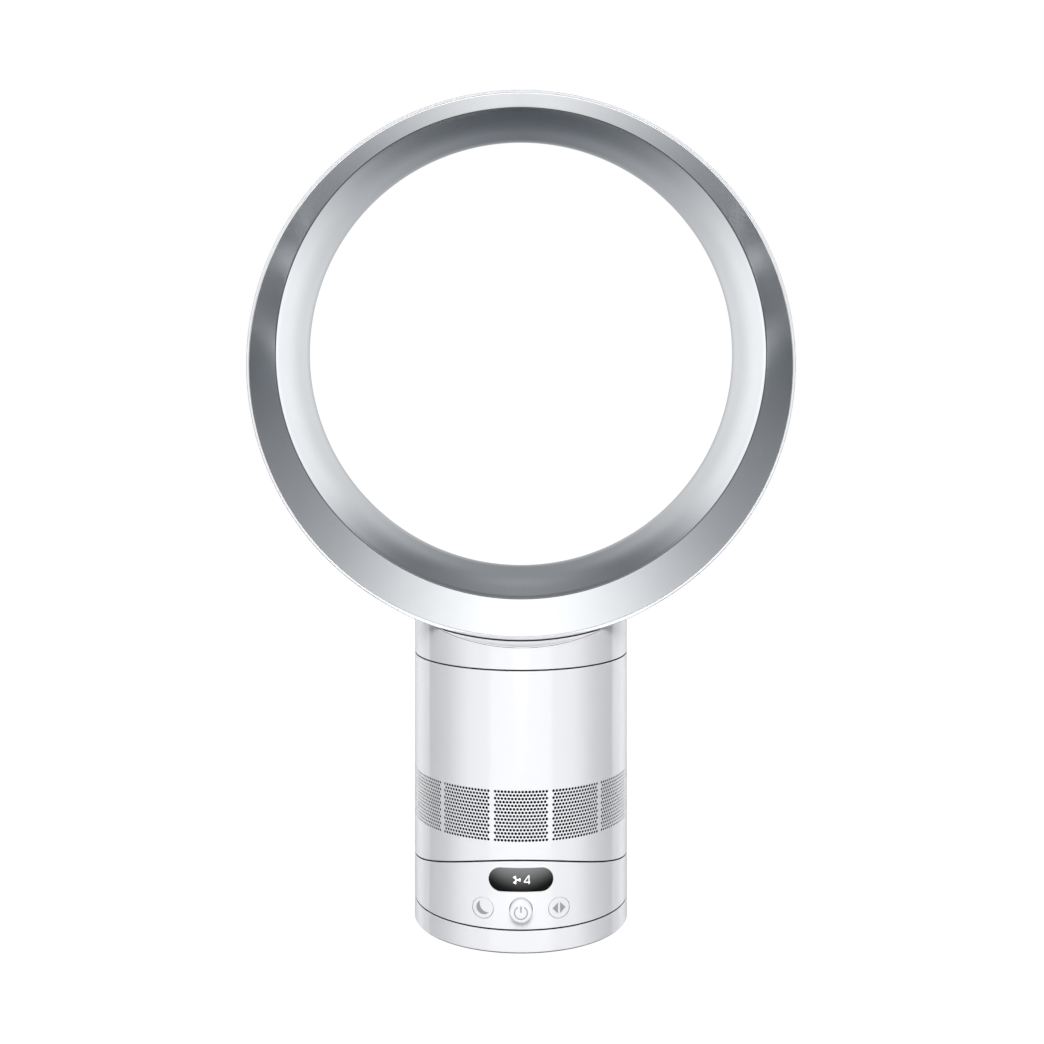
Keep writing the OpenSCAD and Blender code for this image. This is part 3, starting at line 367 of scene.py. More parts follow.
gear_paint.relief(gear_paint.noise(700, 2), 0.006)
dressed(steel_paint, "foot_plate", "foot_screws", "gear_screw")
dressed(rubber_paint, "foot_pad")
dressed(black_paint, "power_jack")
dressed(slide_paint, "glide_ring")
dressed(gear_paint, "swivel_gear")

# Control casing: a gloss white ring moulding with a saddle-shaped upper edge, because the body
# above it tilts. It has three round openings with sleeves for the buttons, and one for the lens.
CONTROL_LOW, TILT_Z, TILT_R = 15.65, 225.0, 180.95
CELL_X, CELL_Z = (-36.4, -12.1, 12.1, 36.4), 38.0
SIDE_X, SIDE_Z, SIDE_HOLE_R, SIDE_R = 24.27, 28.0, 6.85, 6.6
POWER_Z, POWER_HOLE_R, POWER_R, POWER_FRONT = 28.3, 7.5, 7.15, 76.7
SLEEVE_END, SLEEVE_WALL = 62.24, 1.3
LENS_Z, LENS_REACH, LENS_R, LENS_GAP = 47.1, 12.95, 7.55, 0.1


def seam(radius):
    """A drum about the tilt axis, which runs along X: z is its height less the root of
    radius² - y²."""
    return lambda plan: TILT_Z - np.sqrt(radius**2 - plan[:, 1]**2)


def raised(height, lift):
    return lambda plan: height(plan) + lift


def behind_skin(centres):
    """True on the casing's end faces and its inside, but not in the sleeves and the lens's hole."""
    x, y, z = centres.T
    at_front = (y < 0) & (abs(x) < CELL_X[-1] - 1) & (z > CONTROL_LOW + 2) & (z < LENS_Z + LENS_R + 1)
    return inside_skin(centres) & ~at_front


across = [np.linspace(low, high, 17) for low, high in zip(CELL_X, CELL_X[1:])]
control_wall = RoundWall(np.concatenate([across[0], across[1][1:], across[2][1:]]), -1, 160)
control_top = seam(TILT_R)
openings = [((-SIDE_X, SIDE_Z), SIDE_HOLE_R), ((0, POWER_Z), POWER_HOLE_R), ((SIDE_X, SIDE_Z), SIDE_HOLE_R)]
control_patches, rims = [], [[], []]
control_skins = ((BODY_R, level(CONTROL_LOW + EDGE_ROUND), raised(control_top, -EDGE_ROUND)),
                 (BORE_R, level(CONTROL_LOW), control_top))
for wall, (radius, low, high) in enumerate(control_skins):
    for x, (middle, hole_r) in zip(across, openings):
        sleeve_r = hole_r + wall * SLEEVE_WALL
        patch, rim = control_wall.cell(x, radius, low, level(CELL_Z), 14, (middle, 0, sleeve_r))
        control_patches.append(patch)
        rims[wall].append((rim, control_wall.bent(rim, radius)))
    patch, rim = control_wall.cell(control_wall.x, radius, level(CELL_Z), high, 12,
                                   ((0, LENS_Z), LENS_REACH, LENS_R + LENS_GAP))
    control_patches += [patch, control_wall.plain(radius, (low, level(CELL_Z), high), [14, 12])]
    rims[wall].append((rim, control_wall.bent(rim, radius)))
for number, ((outer, outer_rim), (inner, inner_rim)) in enumerate(zip(*rims)):
    sleeve = [np.column_stack([flat[:, 0], np.full(len(flat), -SLEEVE_END), flat[:, 1]])
              for flat in (outer, inner)]
    rows = [outer_rim, inner_rim] if number == 3 else [outer_rim, *sleeve, inner_rim]
    control_patches.append(grid(np.stack(rows, axis=1), wrap=True))
control_patches += [
    control_wall.rings([*top_edge(BODY_R, control_top), (BORE_R, control_top, 0)]),
    control_wall.rings([*top_edge(BODY_R, level(CONTROL_LOW), up=-1), (BORE_R, level(CONTROL_LOW), 0)]),
]
# The end faces and the inside, but not the sleeves and the lens's hole, get the near black painted shade.
made("control_moulding", control_patches, casing_paint, "control_body", ["control_casing"],
     wall_radii=(BODY_R, BORE_R), shade_faces=(painted_shade_paint, behind_skin))

# Buttons: gloss white caps that slide in the casing's sleeves, each with a flange that keeps it
# in and a printed grey sign. The side caps follow the round body, and the power cap stands out.
FLANGE_FRONT, FLANGE_BACK, FLANGE_WIDTH, STEM_END, STEM_R = 62.14, 61.14, 1.4, 60.44, 2.4
POWER_CORNER, SIDE_CORNER = 0.8, 0.3


def on_body(x, out=0.0):
    return -np.sqrt((BODY_R + out)**2 - x**2)


def round_cap(middle, profile, cover, steps=72):
    """A profile of (radius, kept, depth) turned about an axis along Y. Where kept is true, the
    depth is a plane's distance before the body's axis, and otherwise it lies behind the cover,
    which follows x."""
    turn = np.linspace(0, 2 * np.pi, steps, endpoint=False)
    rows = []
    for radius, kept, depth in profile:
        x, z = middle[0] + radius * np.sin(turn), middle[1] + radius * np.cos(turn)
        y = np.full(steps, -depth) if kept else cover(x) + depth
        rows.append(np.column_stack([x, y, z]))
    return grid(np.stack(rows, axis=1), wrap=True)


def cap_profile(radius, corner):
    """Rings of a cap: its face, a rounded rim, its side, its flange and its stem."""
    turn = np.linspace(0, np.pi / 2, 6)
    face = [(share * (radius - corner), False, 0) for share in (0, 0.35, 0.7)]
    rim = [(radius - corner * (1 - math.sin(a)), False, corner * (1 - math.cos(a))) for a in turn]
    flange_r = radius + FLANGE_WIDTH
    back = [(radius, FLANGE_FRONT), (flange_r, FLANGE_FRONT), (flange_r, FLANGE_BACK),
            (STEM_R, FLANGE_BACK), (STEM_R, STEM_END), (0, STEM_END)]
    return [*face, *rim, *[(r, True, depth) for r, depth in back]]


def flat_front(x):
    return np.full(np.shape(x), -POWER_FRONT)


button_paint = gloss_white("gloss_white_button")
made("power_cap", [round_cap((0, POWER_Z), cap_profile(POWER_R, POWER_CORNER), flat_front)], button_paint,
     "power_key", ["power_button"])
for name, side, body in (("timer_cap", -1, "timer_key"), ("swivel_cap", 1, "swivel_key")):
    made(name, [round_cap((side * SIDE_X, SIDE_Z), cap_profile(SIDE_R, SIDE_CORNER), on_body)], button_paint,
         body, [name.replace("cap", "button")])

# Signs: pad-printed films of grey ink on the caps. Each is a thin film that follows the face
# under it, and where films cross, each stands out by one layer more.
FILM, SUNK, LAYER = 0.03, 0.25, 0.002
RING_R, RING_LINE, RING_DROP, BAR_TOP, BAR_LINE = 4.05, 0.75, 0.45, 3.75, 0.95
MOON_R, MOON_IN_R, ARROW_TIP, ARROW_BACK, ARROW_HALF = 4.5, 5.25, 4.2, 0.65, 3.6


def film(left, right, cover, proud=FILM):
    """A strip between two curves of (x, z) with a front just before the cover and a back in it.
    It is closed where the curves meet at both ends, or run in a full turn."""
    share = np.linspace(0, 1, 4)[None, :, None]
    flat = left[:, None] * (1 - share) + right[:, None] * share
    flat = np.concatenate([flat, flat[:, ::-1], flat[:, :1]], axis=1)
    sunk = np.array([-proud] * 4 + [SUNK] * 4 + [-proud])
    return grid(np.stack([flat[..., 0], cover(flat[..., 0]) + sunk, flat[..., 1]], axis=-1))


def stroke(path, width, steps=40):
    """A line of even width with round ends: where the distance d to an end is less than half the
    width h, half the line's width there is the root of h² - (h - d)²."""
    path = np.asarray(path, float)
    run = np.concatenate([[0], np.cumsum(np.linalg.norm(np.diff(path, axis=0), axis=1))])
    half = width / 2
    ends = half * (1 - np.cos(np.linspace(0, np.pi / 2, 7)))
    at = np.unique(np.concatenate([ends, run[-1] - ends, np.linspace(half, run[-1] - half, steps)]))
    line = np.column_stack([np.interp(at, run, path[:, 0]), np.interp(at, run, path[:, 1])])
    way = np.gradient(line, axis=0)
    way /= np.linalg.norm(way, axis=1)[:, None]
    near_end = np.clip(half - np.minimum(at, run[-1] - at), 0, half)
    out = np.column_stack([-way[:, 1], way[:, 0]]) * np.sqrt(half**2 - near_end**2)[:, None]
    return line + out, line - out


def arc(centre, radius, start, end, steps=24):
    """Points at the centre plus the radius times (cos, sin), from start to end in degrees."""
    turn = np.radians(np.linspace(start, end, steps + 1))
    return np.asarray(centre) + radius * np.column_stack([np.cos(turn), np.sin(turn)])


def badge(outline, cover, proud=FILM):
    """A film inside a closed outline that its middle sees all of: the left curve is the middle."""
    outline = np.asarray(outline, float)
    outline = np.concatenate([outline, outline[:1]])
    middle = np.repeat(outline[:-1].mean(axis=0)[None], len(outline), axis=0)
    return film(middle, outline, cover, proud)


ink = Paint("grey_print", (0.37, 0.37, 0.38), 0.45)
ink.shaded(ink.noise(1200, 2), 0.94, 1.06)
ring_middle = (0, POWER_Z - RING_DROP)
power_sign = [film(*stroke(arc(ring_middle, RING_R, 62, -242), RING_LINE), flat_front),
              film(*stroke([(0, POWER_Z + BAR_TOP), ring_middle], BAR_LINE, 6), flat_front)]
made("power_sign", power_sign, ink, "power_key")
moon = np.array((-SIDE_X, SIDE_Z))
moon_edges = [arc(moon + (0.35, 0.45), MOON_R, 118, 319, 40),
              arc(moon + (3.21, 2.72), MOON_IN_R, 161.1, 275.9, 40)]
moon_edges[1][[0, -1]] = moon_edges[0][[0, -1]]
made("timer_sign", [film(*moon_edges, on_body)], ink, "timer_key", crease=50)
arrows = []
for side in (-1, 1):
    corners = [(side * ARROW_TIP, 0), (side * ARROW_BACK, -ARROW_HALF), (side * ARROW_BACK, ARROW_HALF)]
    corners = np.array(corners) + (SIDE_X, SIDE_Z)
    share = np.linspace(0, 1, 8)[:-1, None]
    edge = np.concatenate([corners[k] + (corners[(k + 1) % 3] - corners[k]) * share for k in range(3)])
    arrows.append(badge(edge, on_body))
made("swivel_sign", arrows, ink, "swivel_key", crease=50)

# Display: a smoked lens, flush with the casing and bonded behind its opening, over a module that
# lights a fan sign and the speed. The module, board and switches behind it are on the floor.
LENS_BACK, LENS_FLANGE, LENS_RIM, LENS_CORNER = 68.2, 69.5, 1.0, 0.25
DIGIT_LINE, BLADE_LENGTH, BLADE_ROOT, BLADE_SPREAD, BLADE_ROUND = 0.62, 2.7, 0.4, 0.95, 0.12


def lens_ring(radius, depth, steps=32):
    """A stadium of that radius round the lens's middle bar, on a cylinder of radius depth."""
    right = arc((LENS_REACH, LENS_Z), radius, -90, 90, steps)
    left = arc((-LENS_REACH, LENS_Z), radius, 90, 270, steps)
    bar = np.linspace(-1, 1, 14)[1:-1, None] * (LENS_REACH, 0)
    ring = np.concatenate([bar + (0, LENS_Z - radius), right, bar[::-1] + (0, LENS_Z + radius), left])
    return np.column_stack([ring[:, 0], -np.sqrt(depth**2 - ring[:, 0]**2), ring[:, 1]])


lens_rings = [lens_ring(share * (LENS_R - LENS_CORNER), BODY_R) for share in np.linspace(0, 1, 7)[:-1]]
for turn in np.linspace(0, np.pi / 2, 5):
    inset, drop = LENS_CORNER * (1 - math.sin(turn)), LENS_CORNER * (1 - math.cos(turn))
    lens_rings.append(lens_ring(LENS_R - inset, BODY_R - drop))
lens_rings += [lens_ring(LENS_R, LENS_FLANGE), lens_ring(LENS_R + LENS_RIM, LENS_FLANGE),
               lens_ring(LENS_R + LENS_RIM, LENS_BACK), lens_ring(0, LENS_BACK)]
lens_paint = Paint("smoked_lens", (0.012, 0.012, 0.013), 0.06, Specular_IOR_Level=0.03)
lens_x = lens_paint.node("SeparateXYZ", {}, lens_paint.place, out="X")
lens_z = lens_paint.node("SeparateXYZ", {}, lens_paint.place, out="Z")
# Painted highlight: the lens grows paler from its lower edge upwards, and later at its ends than in its
# middle, in place of a reflection, since its own gloss is kept faint.
painted_highlight = lens_paint.between(lens_z + (lens_x * lens_x) * -16.0, 0.0385, 0.057)
lens_paint.feed("Base Color", lens_paint.blend(painted_highlight, (0.002, 0.002, 0.002, 1), (0.29, 0.293, 0.293, 1)))
lens_paint.feed("Roughness", lens_paint.noise(700, 2) * 0.05 + 0.04)
made("lens_moulding", [grid(np.stack(lens_rings, axis=1), wrap=True)], lens_paint, "control_body",
     ["display_lens"], wall_radii=(BODY_R, LENS_FLANGE, LENS_BACK))
lit = Paint("lit_sign", (0.9, 0.9, 0.9), 0.4, Emission_Strength=0.55)
lit.feed("Emission Color", lit.blend(lit.noise(500, 2), (0.92, 0.94, 0.96, 1), (1, 1, 1, 1)))
digit_middle, fan_middle = np.array((0, LENS_Z)), np.array((-2.9, LENS_Z))
digit_strokes = (((5.1, 3.0), (1.85, -1.4)), ((1.85, -1.4), (5.9, -1.4)), ((5.1, 3.0), (5.1, -2.75)))
signs = [film(*stroke(np.array(path) + digit_middle, DIGIT_LINE, 12), on_body, FILM + LAYER * number)
         for number, path in enumerate(digit_strokes)]
for blade in range(3):
    run = np.linspace(0, 1, 21)
    along = BLADE_LENGTH * run
    into_round = np.clip((run - (1 - BLADE_ROUND)) / BLADE_ROUND, 0, 1)
    half = (BLADE_ROOT * np.minimum(run * 6, 1) + BLADE_SPREAD * run**2) * np.sqrt(1 - into_round**2)
    turn = math.radians(120 * blade)
    ahead, aside = np.array((math.cos(turn), math.sin(turn))), np.array((-math.sin(turn), math.cos(turn)))
    edges = [fan_middle + along[:, None] * ahead + (0.04 * along + way * half)[:, None] * aside
             for way in (-1, 1)]
    signs.append(film(*edges, on_body, FILM + LAYER * blade))
made("display_signs", signs, lit, "control_body", crease=50)
board_paint = Paint("circuit_board", (0.012, 0.03, 0.02), 0.4)
squares = board_paint.node("TexVoronoi", {"distance": "MANHATTAN"}, Vector=board_paint.place, Scale=260.0)
tracks = squares < 0.2
board_paint.feed("Base Color", board_paint.blend(tracks, (0.012, 0.03, 0.02, 1), (0.02, 0.06, 0.035, 1)))
board_paint.relief(tracks, 0.03)
dressed(board_paint, "control_board", "driver_board")
dressed(black_paint, "display_module", "tact_switches")

# Turntable and tilt cradle: textured black mouldings inside the control casing, with the swivel
# motor, its pinion and a polymer bush, and the steel screws that hold them.
dressed(black_paint, "control_floor", "tilt_cradle", "tilt_shoe")
dressed(steel_paint, "floor_screws", "swivel_motor", "motor_screws", "cradle_screws")
dressed(steel_paint, "shoe_screws", "rail_keepers", "keeper_screws")
dressed(slide_paint, "swivel_bush")
dressed(gear_paint, "drive_pinion")

# Main casing: a gloss white tube whose lower edge rocks in the seam. Twelve panels of small round
# holes let the air in, in rows that are staggered by half a step, with plain strips between them.
# The holes' walls are painted near black deeper than a short way in from the skin: painted shade, because
# little light gets in there.
MAIN_TOP, MAIN_SEAM_R = 179.45, 180.0
PANELS, LINES, LINE_STEP = 12, 33, 0.88
HOLE_R, ROW_LOW, ROW_STEP, ROWS = 0.94, 72.0, 2.2036, 15
HOLE_DEPTH, DARK_UP_TO, WHITE_FROM = 2.3, 71.4, 71.9


def holed_wall(radius, line_angle, z, holes):
    """The lattice of uprights and half rows on a cylinder: every square without a hole is one
    face, and round each hole eight faces join its eight neighbours to a ring of eight points
    that lie towards them."""
    lines, levels = len(line_angle), len(z)
    angle, height = np.meshgrid(line_angle, z, indexing="ij")
    points = np.stack([radius * np.sin(angle), -radius * np.cos(angle), height], axis=-1).reshape(-1, 3)
    number = np.arange(lines * levels).reshape(lines, levels)
    faces = grid(np.zeros((lines, levels, 3)), wrap=True)[1]
    centre = number[holes[:, 0], holes[:, 1]]
    faces = faces[~np.isin(faces, centre).any(axis=1)]
    steps = [(-1, -1), (0, -1), (1, -1), (1, 0), (1, 1), (0, 1), (-1, 1), (-1, 0)]
    around = np.stack([number[holes[:, 0] + a, holes[:, 1] + b] for a, b in steps], axis=1)
    flat = np.stack([BODY_R * angle, height], axis=-1).reshape(-1, 2)
    way = flat[around] - flat[centre][:, None]
    ring = flat[centre][:, None] + way / np.linalg.norm(way, axis=2)[..., None] * HOLE_R
    turn = ring[..., 0] / BODY_R
    ring_points = np.stack([radius * np.sin(turn), -radius * np.cos(turn), ring[..., 1]], axis=-1)
    ring_number = len(points) + np.arange(len(holes) * 8).reshape(-1, 8)
    ahead, ring_ahead = np.roll(around, -1, axis=1), np.roll(ring_number, -1, axis=1)
    round_faces = np.stack([around, ahead, ring_ahead, ring_number], axis=-1).reshape(-1, 4)
    points, faces = np.concatenate([points, ring_points.reshape(-1, 3)]), np.concatenate([faces, round_faces])
    return points, faces, ring_points


line_angle = np.radians(np.concatenate(
    [panel * 360 / PANELS + LINE_STEP * (np.arange(LINES) - (LINES - 1) / 2) for panel in range(PANELS)]))
half_rows = ROW_LOW + ROW_STEP / 2 * np.arange(-1, 2 * ROWS)
holes = np.array([(panel * LINES + line, 2 * row + 1) for panel in range(PANELS) for row in range(ROWS)
                  for line in range(1 + row % 2, LINES - 1, 2)])
line_plan = np.column_stack([np.sin(line_angle), -np.cos(line_angle)])


def lined(rows):
    """A closed band over the grille's own uprights: each row is (radius, height, lift)."""
    return grid(np.stack([np.column_stack([line_plan * radius, height(line_plan * radius) + lift])
                          for radius, height, lift in rows], axis=1), wrap=True)


def shared(low, high, share):
    return lambda plan: low(plan) * (1 - share) + high(plan) * share


def behind_holes(centres):
    """True on the main casing's end faces and its inside, but not in the air holes."""
    at_rows = (centres[:, 2] > half_rows[0]) & (centres[:, 2] < half_rows[-1])
    return inside_skin(centres) & ~(at_rows & ~inside_skin(centres, HOLE_DEPTH))


main_low, grille_low, grille_high = seam(MAIN_SEAM_R), level(half_rows[0]), level(half_rows[-1])
main_patches, ring_pairs = [], []
main_skins = ((BODY_R, raised(main_low, EDGE_ROUND), level(MAIN_TOP - EDGE_ROUND)),
              (BORE_R, main_low, level(MAIN_TOP)))
for radius, low, high in main_skins:
    points, faces, ring_points = holed_wall(radius, line_angle, half_rows, holes)
    main_patches.append((points, faces))
    ring_pairs.append(ring_points)
    for below, above, rows in ((low, grille_low, 4), (grille_high, high, 5)):
        shares = np.linspace(0, 1, rows)
        main_patches.append(lined([(radius, shared(below, above, share), 0) for share in shares]))
sides = np.stack(ring_pairs)
count = len(holes) * 8
outer = np.arange(count).reshape(-1, 8)
outer_ahead = np.roll(outer, -1, axis=1)
hole_walls = np.stack([outer, outer_ahead, outer_ahead + count, outer + count], axis=-1)
main_patches.append((sides.reshape(-1, 3), hole_walls.reshape(-1, 4)))
main_patches.append(lined([*top_edge(BODY_R, level(MAIN_TOP)), (BORE_R, level(MAIN_TOP), 0)]))
main_patches.append(lined([*top_edge(BODY_R, main_low, up=-1), (BORE_R, main_low, 0)]))
grille_paint = gloss_white("gloss_white_grille")
# Painted shade in the holes: the base colour goes from near black at DARK_UP_TO to white at WHITE_FROM
# millimetres from the axis, and the coat with it.
outwards = grille_paint.node("Mapping", {}, grille_paint.place, Scale=(1, 1, 0))
from_axis = grille_paint.node("VectorMath", {"operation": "LENGTH"}, outwards, out="Value")
clear_of_painted_shade = grille_paint.between(from_axis, DARK_UP_TO / 1000, WHITE_FROM / 1000)
grille_paint.feed("Base Color", grille_paint.blend(clear_of_painted_shade, (0.01, 0.01, 0.011, 1), grille_paint.white))
grille_paint.feed("Coat Weight", clear_of_painted_shade * 0.5)
# The end faces and the inside, past the holes' depth, get the near black painted shade.
made("main_moulding", main_patches, grille_paint, "upper_body", ["main_casing"],
     wall_radii=(BODY_R, BORE_R), shade_faces=(painted_shade_paint, behind_holes))

# Air unit inside the main casing: shroud, motor, impeller, tail cone and silencer foam, with the
# driver board, hung from the socket ring on rubber grommets.
duct_paint = Paint("black_air_unit_plastic", (0.012, 0.012, 0.013), 0.5, Specular_IOR_Level=0.15)
duct_paint.shaded(duct_paint.noise(140, 3), 0.9, 1.1)
duct_paint.relief(duct_paint.noise(1300, 2), 0.01)
foam_paint = Paint("silencer_foam", (0.025, 0.025, 0.027), 0.95)
cells = foam_paint.node("TexVoronoi", {}, Vector=foam_paint.place, Scale=700.0)
foam_paint.shaded(cells, 0.5, 1.6)
foam_paint.relief(cells, 0.4)
magnet_paint = Paint("sintered_magnet", (0.3, 0.3, 0.31), 0.45, Metallic=1.0)
magnet_paint.feed("Roughness", magnet_paint.noise(900, 3) * 0.2 + 0.35)
dressed(duct_paint, "impeller_shroud", "motor_housing", "motor_cap", "tail_cone", "impeller")
dressed(steel_paint, "motor_stator", "motor_bearings", "mount_screws", "rotor_shaft")
dressed(magnet_paint, "rotor_magnet")
dressed(rubber_paint, "mount_grommets", "duct_seal")
dressed(foam_paint, "silencer_foam")

# Collar: a gloss white moulding under the loop. Its skirt locks in the socket ring, its upper edge
# is cut to the loop's round, and the air goes up through its middle.
COLLAR_LOW, LOOP_Z, SADDLE_R, COLLAR_PORT_R = 180.4, 374.0, 179.15, 39.0
SKIRT_R, SKIRT_IN_R, SKIRT_LOW, COLLAR_WALL = 61.6, 59.2, 170.0, 2.4
LEDGE_Y, CHANNEL_DEPTH, CHANNEL_LEAN = 52.3, 0.45, 0.1
RIM_TOP, RIM_LOW, RIM_DEPTH, RIM_NEAR = 0.42, 0.68, 0.4, 0.18


def saddle(plan):
    """The loop's round, just clear of it: its axis's height less the root of radius² - x²."""
    return LOOP_Z - np.sqrt(SADDLE_R**2 - plan[:, 0]**2)


def ledge_plan(inset):
    """The collar's round with its front and its back cut off straight, before and behind the loop."""
    plan = collar_wall.plan(BODY_R - RIM_DEPTH - inset)
    return np.column_stack([plan[:, 0], np.clip(plan[:, 1], inset - LEDGE_Y, LEDGE_Y - inset)])


def in_channel(centres):
    """True in the gap under the collar, in the channel round the loop and in the rim's line."""
    in_gap = centres[:, 2] < COLLAR_LOW + 1
    in_line = abs(saddle(centres) - (RIM_TOP + RIM_LOW) / 2 - centres[:, 2]) < RIM_NEAR
    return inside_skin(centres, 0.1) & (in_gap | (abs(centres[:, 1]) < LEDGE_Y - NEAR) | in_line)


collar_wall = RoundWall(np.linspace(-1, 1, 3), -1, 254)
collar_low, collar_in = level(COLLAR_LOW), level(COLLAR_LOW + COLLAR_WALL)
lower_edge = top_edge(BODY_R, collar_low, up=-1)[::-1]
collar_rings = [
    *lower_edge, *[(BODY_R, shared(collar_low, saddle, share), 0) for share in (0.2, 0.4, 0.6, 0.8)],
    (BODY_R, saddle, -RIM_LOW), (BODY_R - RIM_DEPTH, saddle, -RIM_LOW),
    (BODY_R - RIM_DEPTH, saddle, -RIM_TOP), (BODY_R, saddle, -RIM_TOP),
    *top_edge(BODY_R, saddle), (ledge_plan(0), saddle, 0), (ledge_plan(CHANNEL_LEAN), saddle, -CHANNEL_DEPTH),
    (COLLAR_PORT_R, saddle, -CHANNEL_DEPTH), (COLLAR_PORT_R, saddle, -COLLAR_WALL),
    (BORE_R, saddle, -COLLAR_WALL), (BORE_R, collar_in, 0), (SKIRT_IN_R, collar_in, 0),
    (SKIRT_IN_R, level(SKIRT_LOW), 0), (SKIRT_R, level(SKIRT_LOW), 0), (SKIRT_R, collar_low, 0),
    lower_edge[0]]
# The gap under the collar, the channel round the loop and the rim's line get the near black painted shade.
made("collar_moulding", [collar_wall.rings(collar_rings)], casing_paint, "loop",
     ["loop_collar"], wall_radii=(BODY_R, BORE_R, SKIRT_R, SKIRT_IN_R), shade_faces=(painted_shade_paint, in_channel))
dressed(black_paint, "loop_socket")
dressed(steel_paint, "collar_screws")

# Loop shell: the gloss white outer half of the loop. Its front lip is flat with a fine step behind it,
# whose face is painted near black as painted shade; the step stops where the loop sits on the collar.
# At the rear the shell turns in and curls back over the air slot, about the bore's higher axis.
LOOP_R, LOOP_WALL, FRONT, REAR, REAR_ROUND = 179.0, 2.4, -50.0, 50.0, 7.0
BORE_Z, COANDA_C, CURL_OUT, CURL_IN, LIP_END = 381.5, (162.5, 32.6), 17.4, 15.0, 135
LIP_R, LIP_IN_ROUND, LIP_OUT_ROUND, STEP_Y, STEP_WIDTH, STEP_RUN = 178.2, 0.3, 0.5, FRONT + 0.9, 0.15, 3
NECK_LIP_R, NECK_STEP_WIDTH, NECK_FROM, NECK_TO, NECK_TOP = LOOP_R - 0.1, 0.05, 24, 30, 205


def about(points, axis_z):
    """Puts the height of its axis beside each (radius, y) point."""
    return np.column_stack([points, np.full(len(points), axis_z)])


def carried(profile, at_neck=None, steps=512):
    """A closed profile of (radius, y, height of its axis) carried round axes along Y: x is the
    radius times the sine of the angle, and z the axis's height plus the radius times its cosine.
    Up to NECK_FROM degrees from the lowest point it is the profile at_neck instead, and from
    there to NECK_TO it changes evenly."""
    turn = np.linspace(0, 2 * np.pi, steps, endpoint=False)[:, None]
    neck = np.clip((NECK_TO - abs(np.degrees(turn) - 180)) / (NECK_TO - NECK_FROM), 0, 1)[:, :, None]
    ring = profile + neck * ((profile if at_neck is None else at_neck) - profile)
    radius, y, axis_z = np.moveaxis(np.concatenate([ring, ring[:, :1]], axis=1), -1, 0)
    return grid(np.stack([radius * np.sin(turn), y, axis_z + radius * np.cos(turn)], axis=-1), wrap=True)


def in_step(centres):
    """True on the fine step behind the lip, above the collar."""
    return (abs(centres[:, 1] - STEP_Y) < NEAR) & (centres[:, 2] > NECK_TOP)


lip_in_c = (LOOP_R - LOOP_WALL + LIP_IN_ROUND, FRONT + LIP_IN_ROUND)
rear_c = (LOOP_R - REAR_ROUND, REAR - REAR_ROUND)
shell_profiles = [np.vstack([
    about(arc(lip_in_c, LIP_IN_ROUND, 180, 270, 4), LOOP_Z),
    about(arc((lip_r - LIP_OUT_ROUND, FRONT + LIP_OUT_ROUND), LIP_OUT_ROUND, 270, 360, 8), LOOP_Z),
    about(np.array([[lip_r, STEP_Y], [lip_r + step, STEP_Y], [LOOP_R, STEP_Y + STEP_RUN]]), LOOP_Z),
    about(arc(rear_c, REAR_ROUND, 0, 90, 10), LOOP_Z),
    about(arc(COANDA_C, CURL_OUT, 90, LIP_END, 10), BORE_Z),
    about(arc(COANDA_C, CURL_IN, LIP_END, 90, 10), BORE_Z),
    about(arc(rear_c, REAR_ROUND - LOOP_WALL, 90, 0, 8), LOOP_Z),
]) for lip_r, step in ((LIP_R, STEP_WIDTH), (NECK_LIP_R, NECK_STEP_WIDTH))]
made("loop_moulding", [carried(*shell_profiles)], casing_paint, "loop", ["loop_shell"],
     shade_faces=(painted_shade_paint, in_step))

# Front bezel: a tapered ring in satin silver paint, pressed into the loop's mouth. It joins the
# shell's round to the bore's, so it is wider below than above.
BEZEL_R, BEZEL_FRONT, BORE_EDGE_R, BEZEL_BACK, BEZEL_WALL = 176.3, -49.7, 162.16, -34.0, 2.2
BEZEL_LIP_R, BEZEL_LIP_Y, BEZEL_SKIRT = BEZEL_R + 0.2, FRONT + 0.25, -47.3
BEZEL_FLAT, INNER_EDGE, INNER_CORNER = 0.978, 0.12, 0.4
silver_paint = Paint("satin_silver_paint", (0.62, 0.628, 0.64), 0.2, Metallic=1.0, Coat_Weight=0.1,
                     Coat_Roughness=0.06)
flakes = silver_paint.node("TexVoronoi", {}, Vector=silver_paint.place, Scale=2600.0, out="Color")
silver_paint.shaded(silver_paint.noise(60, 3), 0.97, 1.03)
silver_paint.feed("Roughness", silver_paint.node("SeparateColor", {}, flakes) * 0.08 + 0.1)
# Painted shade: a dark metal paint on the duct's front face, in the gap behind the bezel's inner edge, reads
# as a shadow line between bezel and duct.
groove_shade_paint = Paint("painted_shade_groove", (0.1, 0.103, 0.108), 0.3, Metallic=1.0)
groove_shade_paint.feed("Roughness", groove_shade_paint.noise(500, 2) * 0.1 + 0.25)
outer_end, inner_end = np.array([BEZEL_R, BEZEL_FRONT, LOOP_Z]), np.array([BORE_EDGE_R, BEZEL_BACK, BORE_Z])
slope = np.linspace(0.0, BEZEL_FLAT, 8)[:, None]
bezel_profile = np.vstack([
    [[BEZEL_LIP_R, BEZEL_SKIRT, LOOP_Z], [BEZEL_LIP_R, BEZEL_LIP_Y, LOOP_Z]],
    outer_end * (1 - slope) + inner_end * slope,
    [[BORE_EDGE_R + INNER_EDGE, BEZEL_BACK - INNER_EDGE, BORE_Z],
     [BORE_EDGE_R + INNER_CORNER, BEZEL_BACK, BORE_Z], [BORE_EDGE_R + BEZEL_WALL, BEZEL_BACK, BORE_Z]],
])
made("bezel_ring", [carried(bezel_profile)], silver_paint, "loop", ["front_bezel"])

